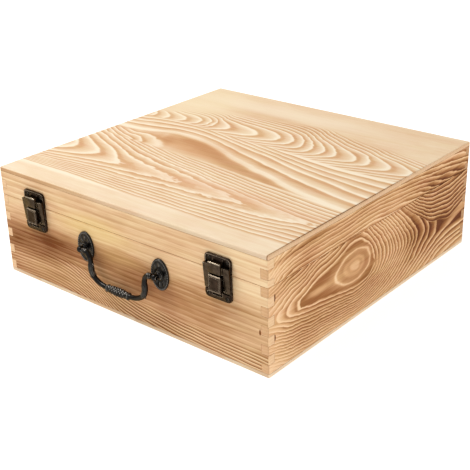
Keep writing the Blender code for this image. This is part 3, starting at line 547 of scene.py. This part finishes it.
def figure_front(n, x, z):
    """Nearly level rings over a fan of strong arcs that falls to the right along the bottom."""
    z = z + n.noise(x / 70, z / 26, 7.0, 1) * 3.4 + n.noise(x / 16, z / 6, 9.0, 1) * 1.0
    fall = n.curve(x, [
        (-190, -3), (-130, 0), (-112, 0), (-88, -2), (-76, -4.5), (-64, -8.5), (-52, -13.5),
        (-40, -20), (-28, -28), (-16, -35), (-4, -39.5), (8, -42), (20, -44.5), (44, -48),
        (80, -51.5), (116, -53.5), (190, -56),
    ])
    fan = ring_tone(n, (z - fall) / 3.4 + 2)
    level = ring_tone(n, n.curve(z, [
        (-5, 0), (30, 7), (36, 8), (41, 9), (46, 10), (52, 11), (57, 12), (64, 13), (71, 14),
        (76, 15), (80, 16), (87, 17), (94, 18), (101, 19), (108, 20), (122, 22),
    ]))
    border = n.curve(x, [
        (-190, 34), (-100, 40), (-60, 38), (-30, 30), (10, 24), (60, 24), (190, 20),
    ])
    within = n.soft(z, border + 6, border - 6)
    return n.choose(within, level, fan), within


def figure_side(n, y, z):
    """Rings round a long teardrop with an eye, a saddle behind it, and level rings on the lid."""
    y = y + n.noise(y / 22, z / 14, 1.0, 1) * 2.4
    z = z + n.noise(y / 30, z / 16, 2.0, 1) * 2.0 + n.noise(y / 8, z / 6, 5.0, 0) * 0.8

    over = n.curve(y, [
        (-190, 59), (-160, 61), (-146, 62), (-134, 60), (-128, 61), (-112, 67), (-100, 70),
        (-88, 71.5), (-76, 74), (-64, 79), (-52, 83), (-40, 83.5), (-28, 78), (-16, 68), (-9, 53),
        (0, 50),
    ])
    under = n.curve(y, [
        (-190, 52), (-160, 50), (-146, 49), (-134, 50.5), (-124, 49), (-112, 47), (-100, 46),
        (-88, 44), (-76, 42), (-64, 40), (-52, 38), (-40, 36.5), (-28, 37), (-16, 41), (-9, 48),
        (0, 49),
    ])
    tip = n.curve(y, [(-190, 3.4), (-168, 2.2), (-151, 1.05), (-141, 0.4), (-131, 0), (0, 0)])
    blunt = ((z - 55.5) / 7).power(2).least(1)
    tip = tip + blunt * n.soft(y, -131.0, -148.0) * 0.4
    slack = n.curve(y, [(-190, 1), (-60, 1), (-28, 0.84), (-10, 0.7), (0, 0.7)])
    up = n.curve((z - over).most(0) * slack, [
        (0, 0), (7, 1), (13, 2), (17, 3), (21, 4), (25, 5), (29, 6), (32, 7), (35, 8), (60, 15),
    ])
    tight = n.curve(y, [
        (-190, 0.85), (-124, 0.9), (-76, 1), (-64, 1.03), (-28, 1.08), (-16, 0.98), (0, 0.9),
    ])
    down = n.curve((under - z).most(0) * tight, [
        (0, 0), (4.5, 1), (8.5, 2), (11.5, 3), (14.5, 4), (17.5, 5), (20.5, 6), (23, 7), (25.5, 8),
        (28, 9), (31, 10), (60, 20),
    ])
    left = 1 + tip + up + down

    lift = (z - 48).most(0)
    near = n.curve(lift, [
        (0, 0), (6, 0.5), (12, 2), (20, 6), (27, 12), (34, 20), (42, 30), (60, 55),
    ])
    far = n.curve(lift, [
        (0, 0), (6, 2), (12, 6.5), (20, 14), (27, 21), (34, 30), (42, 41), (60, 66),
    ])
    lean = n.choose(n.soft(y + lift * 0.5, 5.0, 66.0), near, far)
    right = n.curve(y + lean, [
        (-40, -3), (-9, 1), (-3, 2), (3, 3), (10, 4), (17, 5), (23, 6), (28, 7), (34, 8), (40, 9),
        (46, 10), (52, 11), (59, 12), (66, 13), (73, 14), (87, 15), (104, 16.6), (128, 17.5),
        (152, 17.9), (240, 17.9),
    ])
    row_36 = n.curve(y, [
        (-40, -1), (-16, 2), (-6, 3), (7, 5), (19, 7), (31, 9), (44, 11), (58, 13), (65, 14),
        (78, 15), (92, 16), (110, 17), (128, 17.7), (152, 18.2), (190, 18.4),
    ])
    row_24 = n.curve(y, [
        (-40, 4), (-16, 6), (-4, 7), (12, 9), (29, 11), (46, 13), (56, 14), (68, 15), (79, 16),
        (90, 17), (104, 18), (128, 19.1), (152, 19.5), (190, 19.7),
    ])
    row_12 = n.curve(y, [
        (-40, 9), (-16, 10), (0, 11), (14, 12), (24, 13), (36, 14), (46, 15), (56, 16), (68, 17),
        (80, 18), (92, 19), (106, 20), (122, 21), (152, 21.7), (190, 22),
    ])
    row_0 = n.curve(y, [
        (-40, 13.2), (-16, 14), (4, 15), (20, 16), (34, 17), (50, 18), (64, 19), (80, 20),
        (96, 21), (114, 22), (140, 23), (190, 24),
    ])
    right = n.choose(n.ramp(z, 48.0, 36.0).power(1.6), right, row_36)
    right = n.choose(n.ramp(z, 36.0, 24.0), right, row_24)
    right = n.choose(n.ramp(z, 24.0, 12.0), right, row_12)
    right = n.choose(n.ramp(z, 12.0, 0.0), right, row_0)
    tone = ring_tone(n, n.choose(n.soft(y, -30.0, -9.0), left, right))

    saddle = n.curve(y, [
        (20, 106), (44, 88), (56, 80), (68, 71.5), (80, 65), (92, 57.5), (104, 52.5), (116, 50),
        (128, 47), (140, 45), (152, 48.5), (164, 52), (190, 58),
    ])
    saddle_9 = n.curve(y, [
        (20, 136), (56, 112), (80, 98), (92, 95), (104, 93.5), (128, 94), (152, 96), (190, 101),
    ])
    above = n.ramp(z, saddle, saddle_9) * 9
    behind = n.soft(z - saddle, -0.6, 0.6) * n.soft(y, 38.0, 44.0)
    tone = n.choose(behind, tone, ring_tone(n, above))

    across = (y + 44) / n.curve(y, [(-190, 31), (-60, 31), (-36, 26), (0, 26)])
    height = (z - 59) / 16
    eye = (across * across + height * height).math("SQRT") + n.noise(y / 14, z / 9, 6.0, 1) * 0.16
    pupil = n.curve(eye, [
        (0, 0.25), (0.22, 0.2), (0.4, 0.55), (0.52, 0.45), (0.72, 0.72), (0.9, 0.62), (0.965, 0.2),
        (1.0, 0.1), (1.04, 0.2), (1.11, 0.72), (1.3, 0.9), (1.7, 1.1), (2.6, 1.2), (8, 1.2),
    ])
    pupil = pupil - n.patch(y, z, (-104, 57), (15, 3), -2, 0.8) * 0.5
    inner = (over - z).least(z - under).least(y + 133 - blunt * 5)
    tone = n.choose(n.soft(inner, -0.4, 1.6), tone, pupil)

    crest = n.curve(y, [
        (-190, 84), (-172, 93), (-160, 100), (-148, 104), (-136, 106), (-112, 107), (-60, 108),
        (-16, 110), (8, 108.5), (44, 106), (68, 104), (92, 100), (116, 95), (140, 91), (190, 81),
    ])
    pitch = n.curve(y, [(-190, 4.1), (60, 4.2), (92, 4.9), (128, 5.8), (190, 6.6)])
    lid = ring_tone(n, (z - crest) / pitch + n.noise(z / 6, y / 120, 3.0, 1) * 1.2 + 20)
    return n.choose(n.ramp(z, 89.6, 90.2), tone, lid)


def fibre(n, along, across, depth):
    """Fine streaks, broad streaks and mottling of bare wood, about zero."""
    fine = n.noise(along / 24, across / 0.5, depth / 0.5, 2, 0.7)
    broad = n.noise(along / 70, across / 2.6, depth / 2.6, 2)
    mottle = n.noise(along / 42, across / 16, depth / 16, 2)
    return fine, broad, mottle


def wood(name, nodes, axes, plank, figure, tone, stains_and_shade):
    """Dresses boards cut from one plank: grain from the figure, end grain where the cut shows it.

    axes are along and across the plank. plank holds its colour stops, and how strongly the light
    falls on its face and on its end. tone holds the amounts of broad streaks, mottling and fine
    streaks, and the shade of the end.
    """
    n = Finish(name)
    place = {"X": n.x, "Y": n.y, "Z": n.z}
    along = place.pop(axes[0])
    across = place.pop(axes[1])
    depth = list(place.values())[0]
    stops, light, end_light = plank
    fine, broad, mottle = fibre(n, along, across, depth)
    rings, strength, base = figure(n, along, across)
    rings = (rings - 0.5) * strength
    shade = base + rings + broad * tone[0] + mottle * tone[1] + fine * tone[2]

    end = n.soft(n.normal["XYZ".index(axes[0])].size(), 0.5, 0.75)
    layers = ring_tone(n, across / 3.1 + n.noise(depth / 9, across / 9, 5.0, 1) * 1.4)
    pores = n.noise(depth / 0.3, across / 0.3, along / 0.3, 1)
    end_shade = tone[3] + layers * 0.1 + pores * 0.2 + mottle * 0.12
    shade = n.choose(end, shade, end_shade)

    ramp = n.add("ShaderNodeValToRGB")
    n.link(shade, ramp.inputs["Fac"])
    for _ in stops[2:]:
        ramp.color_ramp.elements.new(0.5)
    for element, (at, colour) in zip(ramp.color_ramp.elements, stops):
        element.position = at
        element.color = [c / light for c in linear(*colour)[:3]] + [1.0]
    level = n.add("ShaderNodeHueSaturation")
    n.link(Value(n.tree, ramp.outputs["Color"]), level.inputs["Color"])
    n.link(1 + end * (light / end_light - 1), level.inputs["Value"])
    n.link(1 - end * 0.03, level.inputs["Saturation"])
    warmth = n.noise(along / 45, across / 11, depth / 11, 2, 0.6)
    n.link(0.5 - warmth * 0.022, level.inputs["Hue"])
    colour = Value(n.tree, level.outputs["Color"])
    # patches of another tint; among the top's is a painted shadow line along its right arris
    for centre, reach, share, stain_and_shade_colour in stains_and_shade:
        amount = n.patch(along, across, centre, reach, 0, 0.7) * (share + mottle * 0.3) * (1 - end)
        colour = n.mix(amount, colour, tuple(c / light for c in linear(*stain_and_shade_colour)[:3]) + (1,))
    n.link(colour, n.shader.inputs["Base Color"])
    n.link(WOOD_ROUGHNESS + fine * 0.2 - shade * 0.08, n.shader.inputs["Roughness"])
    n.shader.inputs["Specular IOR Level"].default_value = WOOD_SHINE
    n.bump(fine * 0.6 + broad * 0.5 - shade * 0.8, WOOD_GRAIN, 0.7)
    for node in nodes:
        NODES[node].data.materials[0] = n.material


def top_grain(n, x, y):
    """Ring tone, ring strength and base shade of the lid's panel and its front edge, with painted
    shade darkening its right arris towards the front.
    """
    tone, calm = figure_top(n, x, y)
    front = n.soft(y, -146.0, -158.0) * 0.12
    edge = n.soft(n.normal[1], -0.6, -0.9) * (0.08 + n.soft(x, 110.0, -190.0) * 0.5)
    # painted shade: the top darkened along its right arris towards the front
    arris = n.soft(x, 175.4, 176.6) * n.soft(y, 40.0, 20.0) * 0.6
    return tone, calm * 0.74, 0.34 + n.patches(x, y, TOP_SHADES) - front + edge + arris


def front_grain(n, x, z):
    """The same of the front: scorched low on the left, pale along the top and at the right."""
    tone, within = figure_front(n, x, z)
    pale = n.soft(z, 58.0, 80.0) * 0.32 + n.soft(x, 108.0, 172.0) * n.soft(z, 20.0, 50.0) * 0.16
    pale = pale + n.soft(x, 50.0, 100.0) * n.soft(z, 60.0, 36.0) * 0.12
    streak = n.noise(x / 50, z / 1.5, 2.0, 2, 0.6) * 0.3
    fan = within * (0.2 + n.soft(x, -118.0, -56.0) * 0.46)
    strength = 0.15 + n.soft(z, 92.0, 104.0) * 0.06 + fan
    return tone, strength, 0.56 + n.patches(x, z, FRONT_SHADES) - pale + streak


def side_grain(n, y, z):
    """The same of the right side: dark at the back, pale at the foot and towards the front."""
    ragged = n.noise(y / 9, z / 5, 8.0, 2, 0.6) * 2.2
    tone = figure_side(n, y + ragged, z + n.noise(y / 11, z / 4, 9.0, 2, 0.6) * 1.6)
    seam = n.soft(y, 50.0, 110.0) * n.soft(z, 84.0, 90.0) * n.soft(z, 112.0, 94.0) * 0.2
    pale = n.soft(z, 90.0, 92.0) * 0.06 + n.soft(z, 24.0, 6.0) * 0.14
    pale = pale + n.soft(y, -120.0, -172.0) * 0.24
    pale = pale + n.soft(y, -40.0, 20.0) * n.soft(y, 60.0, 20.0) * n.soft(z, 60.0, 80.0) * 0.1
    streak = n.noise(y / 40, z / 1.6, 2.0, 2, 0.6) * 0.22
    strength = 0.66 + n.soft(y, 40.0, 110.0) * 0.16 - n.soft(z, 92.0, 98.0) * 0.14
    strength = strength * (1 - n.patch(y, z, (-5, 48), (7, 6), 0, 0.7) * 0.6)
    strength = strength * (1 - n.soft(y, -150.0, -178.0) * 0.6) * (1 - n.soft(z, 14.0, 2.0) * 0.5)
    return tone, strength, 0.42 + n.patches(y, z, SIDE_SHADES) + seam - pale + streak


def plain_grain(n, along, across):
    """A quiet quarter-sawn face for the sides that the photograph doesn't show."""
    lean = n.noise(along / 160, across / 60, 3.0, 1) * 26
    field = (across + lean) / 5.2 + n.noise(along / 50, across / 20, 6.0, 1) * 0.8
    strength = 0.26 + n.noise(along / 120, across / 40, 8.0, 1) * 0.2
    return ring_tone(n, field), strength, 0.4 + n.noise(along / 90, across / 45, 9.0, 1) * 0.3


def make_wood():
    top = (TOP_STOPS, TOP_LIGHT, SIDE_LIGHT)
    front = (FRONT_STOPS, FRONT_LIGHT, SIDE_LIGHT)
    side = (SIDE_STOPS, SIDE_LIGHT, FRONT_LIGHT)
    wood("top", ["lid_top_panel"], "XY", top, top_grain, (0.22, 0.3, 0.34, 0.54), TOP_STAINS_AND_SHADE)
    for name, axes, plank, figure, tone, stains_and_shade in (
        ("front", "XZ", front, front_grain, (0.4, 0.32, 0.36, 0.2), FRONT_STAINS),
        ("right", "YZ", side, side_grain, (0.24, 0.2, 0.26, 0.22), ()),
        ("left", "YZ", side, plain_grain, (0.2, 0.2, 0.14, 0.06), ()),
        ("back", "XZ", side, plain_grain, (0.2, 0.2, 0.14, 0.3), ()),
    ):
        wood(name, [name + "_board", "lid_" + name + "_rail"], axes, plank, figure, tone, stains_and_shade)
    wood("bottom", ["bottom_panel"], "XY", top, plain_grain, (0.2, 0.2, 0.14, 0.25), ())


def make_metal(name, dark, bright, worn_and_lit, roughness, slot=False, border=False, highlight_lines=()):
    """Antiqued metal: mottled patina, its edges and the tops of its relief painted bright, partly
    as wear and partly as painted highlight.

    slot paints a screw's slot near black as painted shade and sinks it with the bump, and border
    bumps a raised line round the latch plates and paints a highlight on its rim. highlight_lines
    lists heights in mm between which a front face is painted bright as a highlight line, each pair
    with its strength.
    """
    n = Finish(name)
    patina = n.noise(n.x / 4, n.y / 4, n.z / 4, 3, 0.6)
    grit = n.noise(n.x / 0.5, n.y / 0.5, n.z / 0.5, 2, 0.6)
    colour = n.mix(n.soft(patina + grit * 0.2, -0.3, 0.4), dark, bright)
    height = grit * 0.4 + patina * 0.5

    # edges painted bright, partly as wear and partly as painted highlight
    rounded = n.add("ShaderNodeBevel", samples=8)
    rounded.inputs["Radius"].default_value = WEAR_AND_HIGHLIGHT_REACH
    face = n.add("ShaderNodeNewGeometry")
    agree = n.add("ShaderNodeVectorMath", operation="DOT_PRODUCT")
    n.tree.links.new(rounded.outputs["Normal"], agree.inputs[0])
    n.tree.links.new(face.outputs["Normal"], agree.inputs[1])
    relief = n.add("ShaderNodeAttribute", attribute_name="relief")
    wear_and_highlight = n.soft(Value(n.tree, agree.outputs["Value"]), 0.985, 0.82)
    wear_and_highlight = wear_and_highlight.most(Value(n.tree, relief.outputs["Fac"]))
    # painted highlight: a front face brightened between the heights given
    for low, high, strength in highlight_lines:
        line = n.soft(n.z, low - 0.3, low) * n.soft(n.z, high + 0.3, high)
        wear_and_highlight = wear_and_highlight.most(line * n.soft(n.normal[1], -0.2, -0.6) * strength)
    if border:
        across = ((n.x.size() - PLATE_MIDDLE[0]).size() - PLATE_HALF[0] + PLATE_CORNER).most(0)
        upward = ((n.z - PLATE_MIDDLE[1]).size() - PLATE_HALF[1] + PLATE_CORNER).most(0)
        inside = PLATE_CORNER - (across * across + upward * upward).math("SQRT")
        step = n.curve(inside, [(0, 1), (1, 1), (1.4, 1), (1.8, 0), (2.3, 0.1), (3, 0.5), (6, 0.5)])
        # painted highlight on the border's rim, stronger towards the top
        rim = n.curve(inside, [(0, 0), (0.9, 0), (1.3, 0.8), (1.6, 0.3), (1.9, 0), (6, 0)])
        rim = rim * n.soft(n.z, 66.0, 100.0)
        front = n.soft(n.normal[1], -0.7, -0.9)
        height = height + step * front * 6
        wear_and_highlight = wear_and_highlight.most(rim * front)
    colour = n.mix(wear_and_highlight * (0.4 + n.soft(patina, -0.4, 0.1) * 0.55), colour, worn_and_lit)
    # painted shade: the slot is darkened to near black and sunk with the bump
    if slot:
        place = n.add("ShaderNodeTexCoord")
        across, _, upward = n.axes(place.outputs["Generated"])
        groove = n.soft(((across - 0.5) * 0.8 + (upward - 0.5) * 0.6).size(), 0.11, 0.07)
        groove = groove * n.soft(n.normal[1].size(), 0.5, 0.8)
        colour = n.mix(groove, colour, SLOT_SHADE_COLOUR)
        height = height - groove * 5
    n.link(colour, n.shader.inputs["Base Color"])
    n.link(roughness + patina * 0.2 + grit * 0.08, n.shader.inputs["Roughness"])
    n.shader.inputs["Metallic"].default_value = METAL_SHARE
    n.shader.inputs["Specular Tint"].default_value = METAL_TINT
    n.bump(height, METAL_GRAIN, 0.8)
    return n.material


def refine(node, finish, width):
    """A detailed piece from a CAD node's shape: welded, its edges rounded, and shaded smooth."""
    bm = bmesh.new()
    bm.from_mesh(NODES[node].data)
    bmesh.ops.remove_doubles(bm, verts=bm.verts, dist=WELD)
    bmesh.ops.dissolve_limit(bm, angle_limit=FLAT_ANGLE, verts=bm.verts, edges=bm.edges)
    mesh = bpy.data.meshes.new(node + "_detail")
    bm.to_mesh(mesh)
    bm.free()
    mesh.materials.append(finish)
    piece = bpy.data.objects.new(node + "_detail", mesh)
    bpy.context.scene.collection.objects.link(piece)
    mesh.shade_smooth()
    if width:
        rounding = piece.modifiers.new("rounding", "BEVEL")
        rounding.width = width
        rounding.segments = EDGE_SEGMENTS
        rounding.limit_method = "ANGLE"
        rounding.angle_limit = EDGE_ANGLE
        rounding.use_clamp_overlap = True
        rounding.harden_normals = True
    mesh.set_sharp_from_angle(angle=EDGE_ANGLE)
    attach(piece, BODY_OF[node])
    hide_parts(node)


def smooth_line(points, step):
    """Points along a smooth curve through those given, from the first to the last."""
    line = []
    last = len(points) - 1
    for i in range(last):
        places = [points[min(max(j, 0), last)] for j in range(i - 1, i + 3)]
        before, start, end, after = (Vector(place) for place in places)
        count = max(1, round((end - start).length / step))
        for k in range(count):
            t = k / count
            line.append(
                before * (-0.5 * t**3 + t**2 - 0.5 * t) + start * (1.5 * t**3 - 2.5 * t**2 + 1)
                + end * (-1.5 * t**3 + 2 * t**2 + 0.5 * t) + after * (0.5 * t**3 - 0.5 * t**2)
            )
    return line + [Vector(points[-1])]


def skin(name, rings, finish, node, replace=True):
    """A closed surface over rings of (place in mm, wear and painted highlight) that rides with a
    node or replaces it.
    """
    bm = bmesh.new()
    levels = []
    loops = []
    for ring in rings:
        loops.append([bm.verts.new(Vector(place) / 1000) for place, _ in ring])
        levels += [level for _, level in ring]
    for first, second in zip(loops, loops[1:]):
        for i in range(len(first)):
            bm.faces.new((first[i - 1], first[i], second[i], second[i - 1]))
    for loop in (loops[0], loops[-1]):
        bm.faces.new(loop)
    bmesh.ops.recalc_face_normals(bm, faces=bm.faces)
    mesh = bpy.data.meshes.new(name)
    bm.to_mesh(mesh)
    bm.free()
    relief = mesh.attributes.new("relief", "FLOAT", "POINT")
    relief.data.foreach_set("value", levels)
    mesh.materials.append(finish)
    mesh.shade_smooth()
    mesh.set_sharp_from_angle(angle=CREASE_ANGLE)
    piece = bpy.data.objects.new(name, mesh)
    bpy.context.scene.collection.objects.link(piece)
    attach(piece, BODY_OF[node])
    if replace:
        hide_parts(node)


def step_between(value, low, high):
    """0 up to the low value and 1 from the high one, smooth between them."""
    share = min(1, max(0, (value - low) / (high - low)))
    return share * share * (3 - 2 * share)


def turns(count):
    """Equal turns round a circle."""
    return [2 * math.pi * k / count for k in range(count)]


def outward(line, i):
    """The direction square to a line at one of its points, in the line's upright plane."""
    ahead = (line[min(i + 1, len(line) - 1)] - line[max(i - 1, 0)]).normalized()
    return Vector((-ahead.z, 0, ahead.x))


def bail_radius(x, z, angle):
    """Radius of the bail and the wear and painted highlight of its ornament, round its line at a
    place.
    """
    x = abs(x)
    if x > BAIL_SHOULDER - 0.05:
        return EYE_RADIUS, 0
    if x < GRIP_HALF:
        swell = math.sin(math.pi / 2 * (1 - x / GRIP_HALF))
        lean = x * math.pi / GRIP_PITCH
        bead = (abs(math.cos(angle * 4 + lean)) * abs(math.cos(angle * 4 - lean))) ** 0.7
        carved = step_between(x, *CARVING_ENDS)
        radius = ARM_RADIUS + GRIP_SWELL * swell - (1 - bead) * CARVING_DEPTH * swell * carved
        knurl = abs(math.cos(angle * 7))
        collar = COLLAR_RADIUS - 1.5 * (x - COLLAR_PLACE) ** 2 - 0.35 * (1 - knurl)
        if collar > radius:
            return collar, 0.1 + knurl * 0.35
        return radius, bead ** 3 * carved * 0.5
    petal = abs(math.cos(angle * 2.5))
    top = SHEATH_TOP - SHEATH_POINT * (1 - petal)
    bottom = SHEATH_BOTTOM + SHEATH_POINT * (1 - petal)
    leaf = step_between(z, bottom - 0.4, bottom + 0.5) * step_between(z, top + 0.4, top - 0.5)
    vein = abs(math.cos(angle * 5))
    ring = sum(math.exp(-(((x - place) / width) ** 2)) for place, width in RINGS)
    ring *= step_between(z, 60, 62)
    knurl = abs(math.cos(angle * 4))
    radius = ARM_RADIUS + leaf * (0.5 - 0.3 * vein ** 4) + ring * (0.35 + 0.25 * knurl)
    return radius, max(leaf * (1 - vein ** 4) * 0.5, ring * knurl * 0.3)


def make_bail(finish):
    """The swinging bail: knurled rings by its posts, leaf sheaths on its arms and a carved grip."""
    half = [Vector((x, 0, BAIL_LINE[0][1])) for x in (*BAIL_ENDS, BAIL_SHOULDER)]
    half += smooth_line([(x, 0, z) for x, z in BAIL_LINE], BAIL_STEP)
    line = half + [Vector((-place.x, 0, place.z)) for place in reversed(half[:-1])]
    rings = []
    for i, place in enumerate(line):
        out = outward(line, i)
        ring = []
        for angle in turns(BAIL_SIDES):
            radius, worn_and_lit = bail_radius(place.x, place.z, angle)
            if i in (0, len(line) - 1):
                radius = TIP_RADIUS
            aside = out * math.cos(angle) + Vector((0, 1, 0)) * math.sin(angle)
            # painted highlight: the ornament's brightening kept mostly on its upper side, where the
            # lamp falls
            worn_and_lit *= 0.12 + 0.88 * step_between(aside.z, -0.1, 0.8)
            ring.append((place + aside * radius + Vector((0, BAIL_OUT, 0)), worn_and_lit))
        rings.append(ring)
    skin("bail_detail", rings, finish, "handle_bail")


def make_nibs(finish):
    """Curled leaf tips that stand off the bail's arms at the ends of its sheaths."""
    for side, hand in ((-1, "left"), (1, "right")):
        for label, x, z, lean in NIBS:
            places = [(x + lean * away, 0, z - drop) for away, drop in NIB_LINE]
            line = smooth_line(places, NIB_STEP)
            rings = []
            for i, place in enumerate(line):
                share = i / (len(line) - 1)
                ring = []
                for angle in turns(NIB_SIDES):
                    ridge = abs(math.cos(angle * 1.5))
                    radius = (NIB_RADIUS - NIB_TAPER * share ** 1.4) * (0.8 + 0.2 * ridge)
                    spot = place + Vector((0, math.cos(angle), math.sin(angle))) * radius
                    ring.append(((spot.x * side, spot.y + BAIL_OUT, spot.z), share * ridge * 0.8))
                rings.append(ring)
            skin("nib_%s_%s" % (label, hand), rings, finish, "handle_bail", False)


def make_rose(side, finish):
    """An oval backplate with a beaded rim, a ring of leaves and a raised middle."""
    middle = ROSE_MIDDLE if side == "right" else -ROSE_MIDDLE
    stations = []
    for (r0, h0), (r1, h1) in zip(ROSE_PROFILE, ROSE_PROFILE[1:]):
        count = 1
        if h0 > 0.5:
            count = max(1, round(math.dist((r0, h0), (r1, h1)) / ROSE_STEP))
        stations += [(r0 + (r1 - r0) * k / count, h0 + (h1 - h0) * k / count) for k in range(count)]
    stations.append(ROSE_PROFILE[-1])
    rings = []
    for radius, height in stations:
        ring = []
        for angle in turns(ROSE_SIDES):
            worn_and_lit = 0.0
            lift = height
            if height > 1.2:
                bead = abs(math.cos(angle * BEAD_PAIRS))
                rim = step_between(radius, 13.7, 14.3) * step_between(radius, 16.2, 15.6)
                leaf = abs(math.cos(angle * LEAF_PAIRS)) ** 1.5
                field = step_between(radius, 6.6, 8.5)
                field *= step_between(radius, 12.2 + leaf, 10.6 + leaf)
                vein = 1 - math.exp(-((math.sin(angle * LEAF_PAIRS) / 0.12) ** 2)) * 0.5
                lift += field * leaf * vein * LEAF_HEIGHT - rim * (1 - bead) * BEAD_DEPTH
                worn_and_lit = max(rim * bead ** 4 * 0.4, field * leaf * vein ** 2 * 0.07)
            x = middle + radius * ROSE_SHARE * math.cos(angle)
            z = BAIL_LINE[0][1] + radius * math.sin(angle)
            ring.append(((x, PLATE_BACK - lift, z), worn_and_lit))
        rings.append(ring)
    skin(side + "_rose_detail", rings, finish, side + "_handle_rose")


def make_border(side, part, finish):
    """A raised line just inside the edge of a latch plate, round its free end."""
    flip = 1 if part == "keeper" else -1
    middle = PLATE_MIDDLE[0] if side == "right" else -PLATE_MIDDLE[0]
    across = PLATE_HALF[0] - BORDER_INSET
    upward = PLATE_HALF[1] - BORDER_INSET
    corner = PLATE_CORNER - BORDER_INSET
    line = [Vector((across, 0, flip * BORDER_STARTS[part]))]
    for k in range(CORNER_STEPS + 1):
        turn = math.pi / 2 * k / CORNER_STEPS
        z = upward - corner + corner * math.sin(turn)
        line.append(Vector((across - corner + corner * math.cos(turn), 0, flip * z)))
    line += [Vector((-place.x, 0, place.z)) for place in reversed(line)]
    rings = []
    for i, place in enumerate(line):
        out = outward(line, i)
        radius = BORDER_END_RADIUS if i in (0, len(line) - 1) else BORDER_RADIUS
        ring = []
        for angle in turns(BORDER_SIDES):
            spot = place + (out * math.cos(angle) + Vector((0, 1, 0)) * math.sin(angle)) * radius
            ring.append(((spot.x + middle, spot.y + PLATE_FRONT, spot.z + PLATE_MIDDLE[1]), 0.0))
        rings.append(ring)
    skin("%s_%s_border" % (side, part), rings, finish, "%s_latch_%s" % (side, part), False)


make_camera()
make_light()
make_floor()
make_wood()
BRONZE = make_metal("bronze", *BRONZE_TONES)
LIT_CLAW = make_metal("claw", *CLAW_LIT_TONES, highlight_lines=CLAW_HIGHLIGHT_LINES)
LEVER = make_metal("lever", *BRONZE_TONES, highlight_lines=LEVER_HIGHLIGHT_LINES)
PLATE = make_metal("plate", *BRONZE_TONES, border=True)
SCREW = make_metal("screw", *SCREW_TONES, slot=True)
IRON = make_metal("iron", *IRON_TONES)
STEEL = make_metal("steel", *STEEL_TONES)
LATCH_METALS = {"keeper": PLATE, "base": PLATE, "claw": LIT_CLAW, "lever": LEVER}
make_bail(IRON)
make_nibs(IRON)
for side in ("left", "right"):
    make_rose(side, IRON)
    make_border(side, "keeper", BRONZE)
    make_border(side, "base", BRONZE)
for name in list(NODES):
    if "screw" in name:
        refine(name, SCREW, 0)
    elif "latch" in name or "hinge" in name:
        refine(name, LATCH_METALS.get(name.rsplit("_", 1)[1], BRONZE), EDGE_WIDTH)
    elif "post" in name:
        refine(name, IRON, 0)
    elif "washer" in name or "nut" in name:
        refine(name, STEEL, EDGE_WIDTH)
